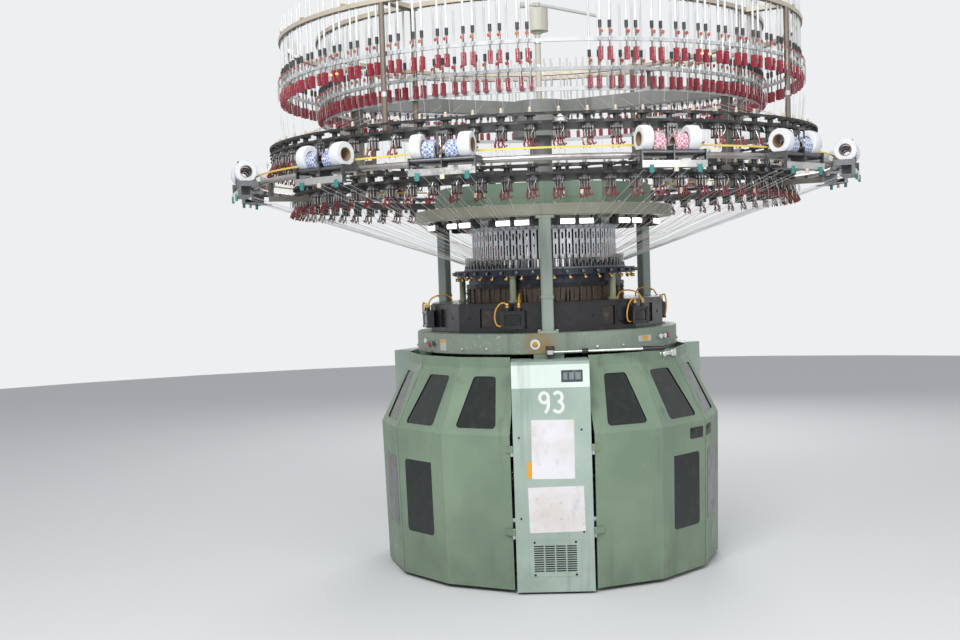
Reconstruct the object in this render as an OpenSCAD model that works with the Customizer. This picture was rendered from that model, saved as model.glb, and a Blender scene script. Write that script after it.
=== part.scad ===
// Large-diameter circular knitting machine, front along -Y, floor at z = 0, machine axis on Z.
// Azimuths are measured from the front (-Y) towards +X.

/* [Enclosure] */
// Fold-line radius of the doors at the kink
door_r = 915; // [908:1:922]
// Fold-line radius of the doors at their lower edge
door_foot_r = 898; // [892:1:906]
// Fold-line radius of the lip under the bed
lip_r = 756; // [750:1:768]
// Lower edge of the doors
door_z0 = 20; // [15:1:60]
// Height of the kink between lower and sloped panels
kink_z = 770; // [750:1:790]
// Height where the sloped panels meet the lip
lip_z = 1086; // [1070:1:1100]
// Top of the lip
lip_top = 1138; // [1120:1:1140]
// Thickness of doors and covers
sheet = 4; // [3:0.5:5]
// Gap between the free edges of two doors
door_gap = 6; // [4:1:12]
// Azimuth of the door edge beside a leg cover
door_a0 = 12.9; // [12.7:0.1:13.4]
// Radius of the hinge pins
pin_r = 5; // [4:0.5:5.5]
// Height of the lower door hinge
hinge_low = 290; // [260:5:320]
// Height of the upper door hinge
hinge_high = 690; // [660:5:705]
// Height of a hinge knuckle
knuckle_h = 30; // [20:1:40]
// Corner radius of the windows
win_r = 12; // [6:1:20]

/* [Leg covers] */
// Width of a leg cover
box_w = 376; // [360:1:380]
// Radius of its front face
box_front = 897; // [890:1:905]
// Depth of a leg cover
box_d = 257; // [200:1:270]
// Lower edge of a leg cover
box_z0 = 12; // [8:1:40]
// Top of a leg cover
box_top = 1125; // [1100:1:1128]
// Centre height of the vent
vent_z = 178; // [160:1:220]
// Width of the vent cover plate
vent_w = 236; // [200:1:260]
// Height of the vent cover plate
vent_h = 150; // [130:1:170]

/* [Base frame] */
// Width of legs and floor arms
leg_w = 150; // [120:1:170]
// Radius of the leg's outer face
leg_out = 700; // [680:1:704]
// Depth of a leg
leg_d = 150; // [120:1:160]
// Height of the floor arms above the levelling feet
arm_h = 70; // [50:1:90]
// Height of the levelling feet
foot_h = 12; // [8:1:16]
// Radius of the centre pad that stands on the floor
pad_r = 120; // [80:1:150]

/* [Bed] */
// Outer radius of the bed
bed_r = 705; // [702:1:712]
// Underside of the bed
bed_z0 = 1147; // [1144:1:1152]
// Top of the bed
bed_z1 = 1250; // [1245:1:1256]
// Inner radius of the bearing shelf
shelf_r = 440; // [436:1:448]
// Thickness of the bearing shelf
shelf_t = 25; // [20:1:32]
// Inner radius of the gear cavity
cavity_r = 502; // [498:1:510]

/* [Drive] */
// Gear module
gear_m = 10; // [9.5:0.25:10]
// Teeth of the main gear
gear_n = 96; // [92:4:96]
// Teeth of the drive pinion
pinion_n = 16; // [12:4:16]
// Gear face width
gear_b = 44; // [36:1:46]
// Running gap between flat faces
run = 0.3; // [0.3:0.1:0.6]
// Radial clearance of pins and journals
fit = 0.05; // [0.03:0.01:0.08]
// Radius of the drive shaft
shaft_r = 15; // [12:1:18]
// Radius of the drive motor
motor_r = 76; // [60:1:80]
// Length of the drive motor
motor_h = 300; // [240:1:360]

/* [Knitting head] */
// Outer radius of the needle cylinder, 30 inch diameter
cyl_r = 381; // [379:0.5:382]
// Wall of the needle cylinder
cyl_wall = 16; // [12:1:18]
// Top of the needle cylinder
cyl_top = 1560; // [1550:1:1565]
// Radius of the casing corners
casing_r = 640; // [630:1:645]
// Bore of the casing
casing_bore = 390; // [388:1:392]
// Height of the casing
casing_h = 150; // [140:1:155]
// Outer radius of the cam ring
cam_r = 420; // [416:1:424]
// Height of the cam ring
cam_h = 71; // [66:1:74]
// Cams around the ring
cam_n = 36; // [24:12:72]
// Radius of the band above the cams
band_r = 430; // [426:1:436]
// Height of the band above the cams
band_h = 21; // [16:1:24]
// Outer radius of the sinker plate
sinker_r = 491; // [489:1:498]
// Underside of the sinker plate
sinker_z = 1535; // [1530:1:1538]
// Thickness of the sinker plate
sinker_t = 31; // [28:1:34]
// Height of the yarn fingers
finger_h = 52; // [46:1:53]
// Underside of the striper plates
striper_z = 1620; // [1620:1:1626]
// Outer radius of the striper ring
striper_r = 391; // [389:1:394]
// Number of striper plates
striper_n = 66; // [60:2:72]

/* [Upper frame] */
// Radius of the column centre lines
col_r = 660; // [658:1:662]
// Width of a column
col_w = 60; // [50:1:60]
// Underside of the upper ring
top_z = 1831; // [1825:1:1838]
// Outer radius of the upper ring
top_r = 696; // [692:1:705]
// Height of the upper ring
top_h = 59; // [54:1:64]
// Corner radius of the upper housing
house_r = 590; // [570:1:605]
// Height of the upper housing
house_h = 114; // [100:1:130]
// Radius of the centre column
hub_col_r = 60; // [50:1:80]
// Radius of the beam hub
hub_r = 150; // [120:1:170]
// Underside of the beam hub
hub_z = 2279; // [2260:1:2300]
// Width of a beam
beam_w = 65; // [55:1:75]
// Height of a beam
beam_h = 69; // [60:1:78]
// Wall of a beam
beam_t = 5; // [3:0.5:8]
// Underside of the beams
beam_z = 2397; // [2390:1:2405]
// Length of a beam from the axis
beam_l = 1130; // [1115:1:1135]
// Radius of the hanging posts' centre lines
hang_r = 1070; // [1050:1:1085]
// Width of a hanging post
hang_w = 45; // [35:1:55]

/* [Feeder rings] */
// Feeders on each ring
feeders = 72; // [36:36:72]
// Radius of the lower row of feeders
low_r = 1318; // [1312:1:1324]
// Radius of the upper row of feeders
up_r = 1432; // [1426:1:1438]
// Underside of the lower ring's bar
low_z = 1960; // [1955:1:1964]
// Underside of the upper ring's bar
up_z = 2172; // [2168:1:2176]
// Height of the ring bar
bar_h = 40; // [34:1:40]
// Radius of a belt pulley
pulley_r = 26; // [22:1:28]
// Thickness of a belt
belt_t = 2.4; // [1.5:0.1:3]

/* [Pipe ring] */
// Radius of the pipe's centre line
pipe_ring_r = 1540; // [1536:1:1544]
// Height of the pipe's centre line
pipe_z = 2041; // [2038:1:2044]
// Radius of the pipe
pipe_r = 14; // [12:0.5:15]
// Length of a roller unit along the ring
unit_w = 302; // [280:1:310]
// Radius of a unit's rollers
roller_r = 10; // [8:0.5:11]
// Bore radius of the large spools
spool_bore = 31; // [24:1:34]
// Radius of the large spools
spool_r = 56; // [50:1:60]
// Radius of the sleeves
sleeve_r = 42; // [38:1:46]

/* [Stop motions] */
// Radius of the outer row
row1_r = 1380; // [1376:1:1384]
// Radius of the inner row
row2_r = 1185; // [1182:1:1190]
// Underside of the outer rail
rail1_z = 2557; // [2552:1:2562]
// Underside of the inner rail
rail2_z = 2462; // [2458:1:2466]
// Underside of the guide rail
rail3_z = 2370; // [2366:1:2374]
// Positions around the ring
pairs = 72; // [36:36:72]
// Radius of a post
post_r = 13; // [10:1:15]
// Height of the tube clamp rings
tube_ring_z = 2792; // [2780:1:2800]
// Top of the tube stubs
tube_top = 2900; // [2860:1:2940]

/* [Top fan] */
// Radius of the mast
mast_r = 16; // [12:1:20]
// Underside of the fan motor
fan_z = 2855; // [2840:1:2870]
// Radius of the fan motor
fan_r = 60; // [50:1:70]
// Height of the fan motor
fan_h = 120; // [100:1:130]

/* [Hidden] */
$fn = 48;
hinge_z = [hinge_low, hinge_high];
door_a1 = 60;
fold = (door_a1 - door_a0) / 2;
legs = [0, 120, 240];
hinge_x = box_w / 2 + 8;
hinge_y = box_front + 1;
leg_cut_x = box_w / 2 + 4;
gear_pr = gear_m * gear_n / 2;
pinion_pr = gear_m * pinion_n / 2;
drive_y = gear_pr + pinion_pr;
gear_z = bed_z0 + shelf_t + run;
casing_top = bed_z1 + casing_h;
cam_top = casing_top + cam_h;
sinker_top = sinker_z + sinker_t;
house_z = top_z + top_h;
house_top = house_z + house_h;
box_az = [for (k = [0:5]) -15 + 60 * k];
post_az = [for (k = [0:4]) -22 + 72 * k];
unit_az = concat([-37.6, -15.5, 19.1, 45.2], [for (k = [0:9]) 72 + 24 * k]);
unit_r = 1605;
roller_dr = 30;
fit_gap = 0.4;
roller_z = pipe_z + 4;
stand_az = [-31, 59, 149, 239];
lead_r = 4;
yarn_r = 0.8;
seat = yarn_r + run;
finger_out = 440;
lead_gland = casing_top - 22;
lead_a = [[30, casing_r + 20, lead_gland], [30, casing_r + 19, lead_gland + 16], [25, casing_r - 2, lead_gland + 50],
  [16, 590, lead_gland + 66], [6, 550, lead_gland + 62], [1, 526, lead_gland + 44], [0, 522, casing_top + run]];
lead_b = [[-30, casing_r + 20, lead_gland], [-32, casing_r + 24, lead_gland + 18], [-56, casing_r + 30, lead_gland + 26],
  [-86, casing_r + 28, lead_gland - 4], [-96, casing_r + 24, lead_gland - 50], [-86, casing_r + 20, lead_gland - 86],
  [-62, casing_r + 18, lead_gland - 92]];

module az(a) { rotate([0, 0, a]) children(); }
module ring(r0, r1, z0, z1, n = 96) {
  translate([0, 0, z0]) linear_extrude(z1 - z0)
    difference() { circle(r1, $fn = n); circle(r0, $fn = n); }
}
// a block that lies at the front, from radius r0 to r1, w wide, from z0 to z1
module block(w, r0, r1, z0, z1) {
  translate([-w / 2, -r1, z0]) cube([w, r1 - r0, z1 - z0]);
}
// a disc or pin along the radius at the front
module radial(r, r0, r1, z, n = 32) {
  translate([0, -r0, z]) rotate([90, 0, 0]) cylinder(r = r, h = r1 - r0, $fn = n);
}
module rounded(w, h, r) {
  square([w - 2 * r, h], center = true);
  square([w, h - 2 * r], center = true);
  for (x = [-1, 1], y = [-1, 1]) translate([x * (w / 2 - r), y * (h / 2 - r)]) circle(r, $fn = 24);
}

// Doors: plates folded along three vertical and two level lines
function apo(r) = r * cos(fold / 2);
function half(r) = r * sin(fold / 2);
function run_h(z0, r0, z1, r1) = sqrt(pow(z1 - z0, 2) + pow(apo(r1) - apo(r0), 2));
function lean(z0, r0, z1, r1) = atan2(apo(r0) - apo(r1), z1 - z0);
// puts children on the outer face of a facet, local y up the sheet, local z outwards
module on_facet(i, z0, r0, z1, r1) {
  az(door_a0 + fold * (i + 0.5)) translate([0, -apo(r0), z0])
    rotate([90 - lean(z0, r0, z1, r1), 0, 0]) children();
}
// the folded sheet of one door, outer and inner skin, level by level from the foot to the lip
module door_shell() {
  lv = [[door_z0, door_foot_r], [kink_z, door_r], [lip_z, lip_r], [lip_top, lip_r]];
  t = sheet / cos(fold / 2);
  pts = [for (l = lv, c = [0:2], s = [0, 1])
    let (a = door_a0 + fold * c, r = l[1] - s * t) [r * sin(a), -r * cos(a), l[0]]];
  function id(l, c, s) = (l * 3 + c) * 2 + s;
  polyhedron(pts, concat(
    [for (l = [0:2], c = [0, 1]) [id(l + 1, c, 0), id(l + 1, c + 1, 0), id(l, c + 1, 0), id(l, c, 0)]],
    [for (l = [0:2], c = [0, 1]) [id(l, c, 1), id(l, c + 1, 1), id(l + 1, c + 1, 1), id(l + 1, c, 1)]],
    [for (c = [0, 1]) [id(0, c, 0), id(0, c + 1, 0), id(0, c + 1, 1), id(0, c, 1)]],
    [for (c = [0, 1]) [id(3, c, 1), id(3, c + 1, 1), id(3, c + 1, 0), id(3, c, 0)]],
    [for (l = [0:2]) [id(l + 1, 0, 1), id(l + 1, 0, 0), id(l, 0, 0), id(l, 0, 1)]],
    [for (l = [0:2]) [id(l + 1, 2, 0), id(l + 1, 2, 1), id(l, 2, 1), id(l, 2, 0)]]));
}
module on_slope(i) { on_facet(i, kink_z, door_r, lip_z, lip_r) children(); }
module on_lower(i) { on_facet(i, door_z0, door_foot_r, kink_z, door_r) children(); }
slope_h = run_h(kink_z, door_r, lip_z, lip_r);
low_h = run_h(door_z0, door_foot_r, kink_z, door_r);
// window outlines on the sloped facets, narrower at the top
module slope_window(i, d) {
  w0 = (i == 0 ? -half(door_r) + 46 : -half(door_r) + 62) - d;
  w1 = half(door_r) - 58 + d;
  t0 = (i == 0 ? -half(door_r) + 46 + 14 : -half(lip_r) + 52) - d;
  t1 = half(lip_r) - 50 + d;
  y0 = 34 - d;
  y1 = slope_h - 46 + d;
  hull() for (p = [[w0, y0, 1, 1], [w1, y0, -1, 1], [t1, y1, -1, -1], [t0, y1, 1, -1]])
    translate([p[0] + p[2] * win_r, p[1] + p[3] * win_r]) circle(win_r, $fn = 16);
}
module low_window(d) { translate([-14, low_h - 250]) rounded(150 + 2 * d, 372 + 2 * d, win_r + 4); }
module knuckle_leaf(z) {
  translate([0, 0, z]) linear_extrude(knuckle_h) {
    translate([hinge_x, -hinge_y]) circle(pin_r + 2.2, $fn = 32);
    polygon([[hinge_x, -hinge_y - 5], [hinge_x + 6, -hinge_y - 5], [hinge_x + 44, -hinge_y + 24],
      [hinge_x + 40, -hinge_y + 32], [hinge_x + 12, -hinge_y + 18], [hinge_x + 3, -hinge_y + 5]]);
  }
}
module door_body() {
  difference() {
    union() {
      intersection() {
        door_shell();
        translate([leg_cut_x, -1000, 0]) cube([900, 1000, 1400]);
      }
      for (z = hinge_z) knuckle_leaf(z);
    }
    az(door_a1) block(door_gap, 600, 1000, 0, 1300);
    for (i = [0, 1]) on_slope(i) translate([0, 0, -2 * sheet]) linear_extrude(4 * sheet)
      slope_window(i, 0);
    on_lower(1) translate([0, 0, -2 * sheet]) linear_extrude(4 * sheet) low_window(0);
    // recess of the pull at the free edge
    on_lower(1) translate([half(door_r) - 52, low_h - 52, -2 * sheet])
      linear_extrude(4 * sheet) rounded(52, 46, 5);
    for (z = hinge_z) translate([hinge_x, -hinge_y, z - 1])
      cylinder(r = pin_r + fit, h = knuckle_h + 2, $fn = 32);
  }
}
module window_set() {
  color([0.13, 0.14, 0.14]) {
    for (i = [0, 1]) on_slope(i) translate([0, 0, -2 * sheet]) linear_extrude(sheet)
      slope_window(i, 10);
    on_lower(1) translate([0, 0, -2 * sheet]) linear_extrude(sheet) low_window(10);
    // cup of the pull
    on_lower(1) translate([half(door_r) - 52, low_h - 52, -sheet]) difference() {
      translate([0, 0, -14]) linear_extrude(14) rounded(58, 52, 6);
      translate([0, 0, -11]) linear_extrude(12) rounded(50, 44, 5);
    }
  }
}
module door_right(a) { color([0.45, 0.58, 0.51]) az(a) door_body(); }
module door_left(a) { color([0.45, 0.58, 0.51]) az(a) mirror([1, 0, 0]) door_body(); }
module hinge_set() {
  for (z = hinge_z) {
    translate([hinge_x, -hinge_y, z - 16]) cylinder(r = pin_r, h = 16 + knuckle_h + run + 4, $fn = 32);
    translate([hinge_x, -hinge_y, z - 16]) cylinder(r = pin_r + 2, h = 16 - run, $fn = 32);
    translate([hinge_x, -hinge_y, z + knuckle_h + run]) cylinder(r = pin_r + 2, h = 4, $fn = 32);
    translate([box_w / 2, -box_front, z - 16]) cube([8, 17, 16 - run]);
  }
}
module door_hinges() {
  color("silver") for (a = legs) az(a) { hinge_set(); mirror([1, 0, 0]) hinge_set(); }
}

// Legs, covers and feet
module levelling_feet() {
  color([0.3, 0.3, 0.3]) for (a = legs) az(a) translate([0, -leg_out + leg_d / 2, 0]) {
    cylinder(r = 46, h = foot_h - 4);
    cylinder(r = 26, h = foot_h);
  }
}
module leg_frame() {
  z0 = foot_h;
  color([0.42, 0.52, 0.47]) {
    cylinder(r = pad_r, h = 6);
    translate([0, 0, 4]) cylinder(r = pad_r + 80, h = z0 + arm_h + 16);
    for (a = legs) az(a) {
      block(leg_w, 100, leg_out, z0, z0 + arm_h);
      difference() {
        block(leg_w, leg_out - leg_d, leg_out, z0, bed_z0);
        block(leg_w - 40, leg_out - leg_d + 20, leg_out + 1, z0 + arm_h + 60, 560);
        block(leg_w - 40, leg_out - leg_d + 20, leg_out + 1, 640, bed_z0 - 100);
      }
      // ribs between arm and leg
      translate([-12, -leg_out + leg_d, z0 + arm_h]) rotate([90, 0, 90]) linear_extrude(24)
        polygon([[-1, -1], [200, -1], [-1, 260]]);
      // pads that carry the leg cover
      for (z = [foot_h + arm_h + 10, 590, 1060]) block(60, leg_out - 10, box_front - sheet, z, z + 40);
    }
  }
}
module leg_cover() {
  difference() {
    block(box_w, box_front - box_d, box_front, box_z0, box_top);
    block(box_w - 2 * sheet, box_front - box_d - 1, box_front - sheet, box_z0 - 1, box_top - sheet);
    // the bed hangs over the cover's rear edge; the leg passes through there
    block(leg_w + 20, box_front - box_d - 1, leg_out + 5, box_z0 - 1, box_top + 1);
    children();
  }
}
module leg_covers() {
  color([0.6, 0.68, 0.65]) {
    leg_cover() block(vent_w - 24, box_front - 2 * sheet, box_front + 1, vent_z - vent_h / 2 + 16,
      vent_z + vent_h / 2 - 16);
    for (a = [120, 240]) az(a) leg_cover();
  }
}
module vent_grille() {
  color([0.5, 0.58, 0.56]) translate([0, -box_front, vent_z]) rotate([90, 0, 0])
    linear_extrude(2) difference() {
      rounded(vent_w, vent_h, 4);
      for (c = [-1.5, -0.5, 0.5, 1.5], k = [0:13])
        translate([c * 47, (k - 6.5) * 7.6]) square([38, 3.4], center = true);
      for (x = [-1, 1], y = [-1, 1]) translate([x * (vent_w / 2 - 9), y * (vent_h / 2 - 9)])
        circle(2.5, $fn = 16);
    }
}

// Bed, buttons and lever
button_az = [-63, -59.8, -55.4, 54, 57.6, 61.2];
button_z = [1210, 1192, 1200, 1203, 1203, 1203];
boss_r = bed_r + 7;
lever_x = 6;
lever_y = bed_r + 30;
lever_z = bed_z0 + 11;
lever_a = 8;
module bed_ring() {
  color([0.55, 0.63, 0.6]) difference() {
    union() {
      rotate_extrude($fn = 120) polygon([[shelf_r, bed_z0], [bed_r - 4, bed_z0], [bed_r, bed_z0 + 4],
        [bed_r, bed_z1 - 4], [bed_r - 4, bed_z1], [cavity_r, bed_z1], [cavity_r, bed_z0 + shelf_t],
        [shelf_r, bed_z0 + shelf_t]]);
      for (i = [0:5]) az(button_az[i]) radial(15, bed_r - 20, boss_r, button_z[i]);
    }
    for (i = [0:5]) az(button_az[i]) radial(9 + fit, bed_r - 20, boss_r + 1, button_z[i]);
    // flat for the lever bracket
    translate([lever_x - 22, -bed_r - 1, bed_z0 - 1]) cube([44, 6, 40]);
    // pocket and bore of the drive pinion
    translate([0, drive_y, bed_z0 + shelf_t]) cylinder(r = pinion_pr + 12, h = 200);
    translate([0, drive_y, bed_z0 - 1]) cylinder(r = shaft_r + 3, h = 200);
  }
}
module button(i, c) {
  color(c) az(button_az[i]) {
    radial(9, bed_r - 12, boss_r + 5, button_z[i]);
    radial(12.5, boss_r + 4, boss_r + 10, button_z[i]);
  }
}
module lever_bracket() {
  color([0.1, 0.1, 0.1]) {
    translate([lever_x - 20, -bed_r + 5 - 12, lever_z - 18]) cube([40, 12, bed_z0 + 55 - lever_z]);
    translate([lever_x - 20, -lever_y - 14, lever_z - 18]) cube([40, lever_y + 14 - bed_r + 2, 8 - run]);
    translate([lever_x, -lever_y, lever_z - 14]) cylinder(r = 8, h = 30);
    translate([lever_x, -lever_y, lever_z + 10 + run]) cylinder(r = 13, h = 5);
  }
}
module hand_lever() {
  color("silver") translate([lever_x, -lever_y, lever_z]) rotate([0, 0, lever_a]) difference() {
    union() {
      translate([0, 0, -10]) cylinder(r = 18, h = 20);
      rotate([0, 90, 0]) cylinder(r = 7, h = 560);
      translate([158, 0, 0]) rotate([0, 90, 0]) cylinder(r = 13, h = 30);
      translate([462, 0, 0]) rotate([0, 90, 0]) cylinder(r = 13, h = 102);
      translate([564, 0, 0]) sphere(r = 13);
    }
    translate([0, 0, -20]) cylinder(r = 8 + fit, h = 40);
  }
}

// Knitting head
module casing_outline(r) {
  polygon([for (k = [0:11]) [r * sin(15 + 30 * k), -r * cos(15 + 30 * k)]]);
}
module actuator_casing() {
  apt = casing_r * cos(15);
  color([0.11, 0.11, 0.12]) difference() {
    union() {
      translate([0, 0, bed_z1]) linear_extrude(casing_h - 8) casing_outline(casing_r);
      translate([0, 0, casing_top - 8]) linear_extrude(8) casing_outline(casing_r - 8);
    }
    translate([0, 0, bed_z1 - 1]) cylinder(r = casing_bore, h = casing_h + 2, $fn = 96);
    for (k = [0:11]) if (k % 4 != 0) az(30 * k) {
      translate([-38, -apt - 1, bed_z1 + 26]) cube([76, 13, 96]);
      for (x = [-96, 96]) translate([x, -apt - 1, bed_z1 + 75]) rotate([-90, 0, 0])
        cylinder(r = 7, h = 5, $fn = 16);
    }
  }
}
module actuator_boxes() {
  color([0.09, 0.09, 0.1]) for (a = box_az) az(a) {
    difference() {
      block(124, casing_r - 4, casing_r + 34, bed_z1 + 22, bed_z1 + 112);
      translate([0, 0, bed_z1 - 1]) rotate([0, 0, -a]) linear_extrude(casing_h) casing_outline(casing_r + 0.2);
      block(84, casing_r + 28, casing_r + 40, bed_z1 + 40, bed_z1 + 94);
    }
    for (x = [-30, 30]) translate([x, -casing_r - 20, bed_z1 + 112]) {
      cylinder(r = 10, h = 16, $fn = 24);
      cylinder(r = 13, h = 6, $fn = 6);
    }
  }
}
// Flexible leads: 8-sided tubes swept along a smooth curve through hand-set points
function unit(v) = v / norm(v);
function spline(p, i, t) = let (a = p[max(i - 1, 0)], b = p[i], c = p[i + 1], d = p[min(i + 2, len(p) - 1)])
  0.5 * (2 * b + (c - a) * t + (2 * a - 5 * b + 4 * c - d) * t * t + (3 * b - a - 3 * c + d) * t * t * t);
module lead(p, r, side, first, last, sides = 8, per = 2) {
  line = concat([for (i = [0:len(p) - 2], k = [0:per - 1]) spline(p, i, k / per)], [p[len(p) - 1]]);
  n = len(line);
  pts = [for (j = [0:n - 1]) let (t = j == 0 ? first : j == n - 1 ? last : unit(line[j + 1] - line[j - 1]),
    u = unit(cross(t, side)), v = cross(t, u))
    for (k = [0:sides - 1]) line[j] + r * (cos(360 * k / sides) * u + sin(360 * k / sides) * v)];
  function id(j, k) = j * sides + k % sides;
  polyhedron(pts, concat([[for (k = [0:sides - 1]) k]], [[for (k = [sides - 1:-1:0]) id(n - 1, k)]],
    [for (j = [0:n - 2], k = [0:sides - 1]) [id(j, k), id(j + 1, k), id(j + 1, k + 1)]],
    [for (j = [0:n - 2], k = [0:sides - 1]) [id(j, k), id(j + 1, k + 1), id(j, k + 1)]]));
}
module signal_cables() {
  color([0.85, 0.45, 0.1]) for (a = box_az) az(a) {
    lead([for (q = lead_a) [q[0], -q[1], q[2]]], lead_r, [1, 0, 0], [0, 0, 1], [0, 0, -1]);
    lead([for (q = lead_b) [q[0], -q[1], q[2]]], lead_r, [0, 1, 0], [0, 0, 1], [1, 0, 0]);
  }
}

// Yarns held taut between feeders or spools and the yarn fingers
module taut(a, b) {
  d = b - a;
  translate(a) rotate([0, acos(d[2] / norm(d)), atan2(d[1], d[0])]) cylinder(r = yarn_r, h = norm(d), $fn = 13);
}
function clear_of_columns(a) = min([for (l = [0, 120, 240, 360]) abs(a - l)]) > 3;
module taut_yarns() {
  color([0.9, 0.88, 0.88]) {
    for (k = [0:feeders - 1]) let (a = (k + 0.5) * 360 / feeders) if (clear_of_columns(a))
      az(a) taut([0, -low_r - 12, low_z - 40 - seat], [0, -finger_out, sinker_top + 34]);
    for (a = unit_az) az(a) for (x = [-107, -52, 52, 100])
      taut([x, -unit_r + 25, pipe_z - 60 - seat], [0.75 * x, -finger_out, sinker_top + 40]);
  }
}

module support_posts() {
  color([0.36, 0.5, 0.42]) for (a = post_az) az(a) translate([0, -455, casing_top]) {
    cylinder(r = 17, h = sinker_z - casing_top);
    translate([0, 0, 0]) cylinder(r = 24, h = 10);
    translate([0, 0, sinker_z - casing_top - 8]) cylinder(r = 21, h = 8);
  }
}
module cam_ring() {
  w = 360 / cam_n;
  color([0.45, 0.42, 0.38]) difference() {
    union() {
      ring(casing_bore + 2, cam_r, casing_top, cam_top);
      ring(casing_bore + 2, band_r, cam_top, cam_top + band_h);
      for (k = [0:cam_n - 1]) az((k + 0.5) * w) block(10, cam_r - 6, cam_r + 7, casing_top, cam_top);
    }
    for (k = [0:cam_n - 1]) az(k * w) block(4, cam_r - 10, cam_r + 20, casing_top + 6, cam_top - 6);
  }
}
module sinker_plate() {
  color([0.13, 0.16, 0.2]) difference() {
    union() {
      ring(cyl_r + 5, sinker_r, sinker_z, sinker_top);
      ring(cyl_r + 12, band_r - 14, cam_top + band_h, sinker_z);
    }
    for (k = [0:35]) az(10 * k) translate([0, 0, sinker_z - 1])
      block(3, sinker_r - 8, sinker_r + 5, 0, sinker_t + 2);
  }
}
module yarn_finger_ring() {
  color([0.16, 0.16, 0.17]) {
    ring(cyl_r + 11, 440, sinker_top, sinker_top + 9);
    for (k = [0:71]) az(5 * k + 1) {
      block(12, cyl_r + 14, 424, sinker_top + 8, sinker_top + finger_h);
      block(7, 423, 436, sinker_top + 8, sinker_top + 26);
    }
  }
}
module striper_ring() {
  w = 360 / striper_n;
  color([0.72, 0.72, 0.71]) difference() {
    union() {
      ring(striper_r - 14, striper_r, striper_z, top_z, striper_n);
      ring(striper_r - 14, striper_r + 9, striper_z + 152, striper_z + 188);
      for (k = [0:striper_n - 1]) az(k * w) radial(11, striper_r + 2, striper_r + 15, striper_z + 170, 20);
    }
    for (k = [0:striper_n - 1]) az(k * w) {
      block(11, striper_r - 9, striper_r + 5, striper_z - 1, striper_z + 150);
      az(w / 2) {
        block(9, striper_r - 20, striper_r + 5, striper_z + 20, striper_z + 74);
        block(10, striper_r - 20, striper_r + 5, striper_z + 104, striper_z + 130);
        for (z = [104, 130]) radial(5, striper_r - 20, striper_r + 5, striper_z + z, 16);
      }
      radial(5, striper_r + 6, striper_r + 20, striper_z + 170, 16);
    }
  }
}

// Columns and upper ring
module columns() {
  color([0.55, 0.63, 0.6]) for (a = legs) az(a) translate([0, -col_r, 0]) {
    translate([0, 0, bed_z1]) linear_extrude(top_z - bed_z1) rounded(col_w, col_w - 4, 9);
    translate([0, -2, bed_z1]) linear_extrude(12) rounded(col_w + 44, col_w + 12, 6);
    translate([0, 2, top_z - 12]) linear_extrude(12) rounded(col_w + 30, col_w + 6, 6);
    translate([0, -2, bed_z1 + 172]) linear_extrude(14) rounded(col_w + 6, col_w + 4, 9);
  }
}
module upper_ring() {
  color([0.55, 0.63, 0.6]) {
    difference() {
      rotate_extrude($fn = 120) polygon([[striper_r - 20, top_z], [top_r - 5, top_z], [top_r, top_z + 5],
        [top_r, house_z - 5], [top_r - 5, house_z], [house_r - 60, house_z], [house_r - 60, top_z + 18],
        [striper_r - 20, top_z + 18]]);
      for (k = [0:11]) az(30 * k + 15) block(60, 440, 500, top_z - 1, top_z + 30);
    }
  }
}
module work_lights() {
  color([0.95, 0.95, 0.93]) for (k = [0:11]) az(30 * k + 3) {
    rotate([0, 0, -90]) rotate_extrude(angle = 24, $fn = 120) translate([600, top_z - 46]) square([24, 34]);
    for (t = [3, 12, 21]) az(t) block(22, 596, 626, top_z - 48, top_z);
  }
}
module top_housing() {
  color([0.42, 0.55, 0.48]) translate([0, 0, house_z]) {
    difference() {
      linear_extrude(house_h) polygon([for (k = [0:11]) [house_r * sin(30 * k), -house_r * cos(30 * k)]]);
      translate([0, 0, -1]) linear_extrude(house_h - 7)
        polygon([for (k = [0:11]) [(house_r - 8) * sin(30 * k), -(house_r - 8) * cos(30 * k)]]);
      for (k = [0:11]) az(30 * k + 15) translate([0, 0, 40])
        block(160, house_r - 60, house_r + 10, 0, 40);
    }
  }
}
module beam_star() {
  color([0.45, 0.47, 0.46]) {
    translate([0, 0, house_top]) cylinder(r = hub_col_r + 50, h = 14);
    translate([0, 0, house_top]) cylinder(r = hub_col_r, h = hub_z - house_top + 10);
    translate([0, 0, hub_z]) cylinder(r = hub_r, h = beam_z + beam_h + 6 - hub_z, $fn = 64);
    for (a = [60, 180, 300]) az(a) difference() {
      block(beam_w, 60, beam_l, beam_z, beam_z + beam_h);
      block(beam_w - 2 * beam_t, hub_r + 20, beam_l + 1, beam_z + beam_t, beam_z + beam_h - beam_t);
    }
  }
}
module fan_motor() {
  z0 = beam_z + beam_h + 6;
  color([0.8, 0.79, 0.72]) {
    translate([0, 0, z0]) cylinder(r = mast_r + 18, h = 10);
    translate([0, 0, z0]) cylinder(r = mast_r, h = fan_z - z0 + 5);
    translate([0, 0, fan_z - 14]) cylinder(r = mast_r + 8, h = 16);
    translate([0, 0, fan_z]) cylinder(r = fan_r, h = fan_h, $fn = 64);
    translate([0, 0, fan_z + fan_h]) cylinder(r = 9, h = 36);
  }
}
module fan_arm() {
  z = fan_z + fan_h + 16;
  color([0.75, 0.78, 0.76]) difference() {
    union() {
      translate([0, 0, z]) cylinder(r = 20, h = 18);
      translate([10, 0, z + 9]) rotate([0, 103, 0]) cylinder(r = 9, h = 340);
      translate([-10, 0, z + 9]) rotate([0, -90, 0]) cylinder(r = 9, h = 60);
      translate([-60, 0, z + 9]) rotate([0, -90, 0]) cylinder(r = 16, h = 40);
    }
    translate([0, 0, z - 1]) cylinder(r = 9 + fit, h = 30);
    translate([10, 0, z + 9]) rotate([0, 103, 0]) translate([0, 0, 260]) cylinder(r = 6.5, h = 90);
  }
}

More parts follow.
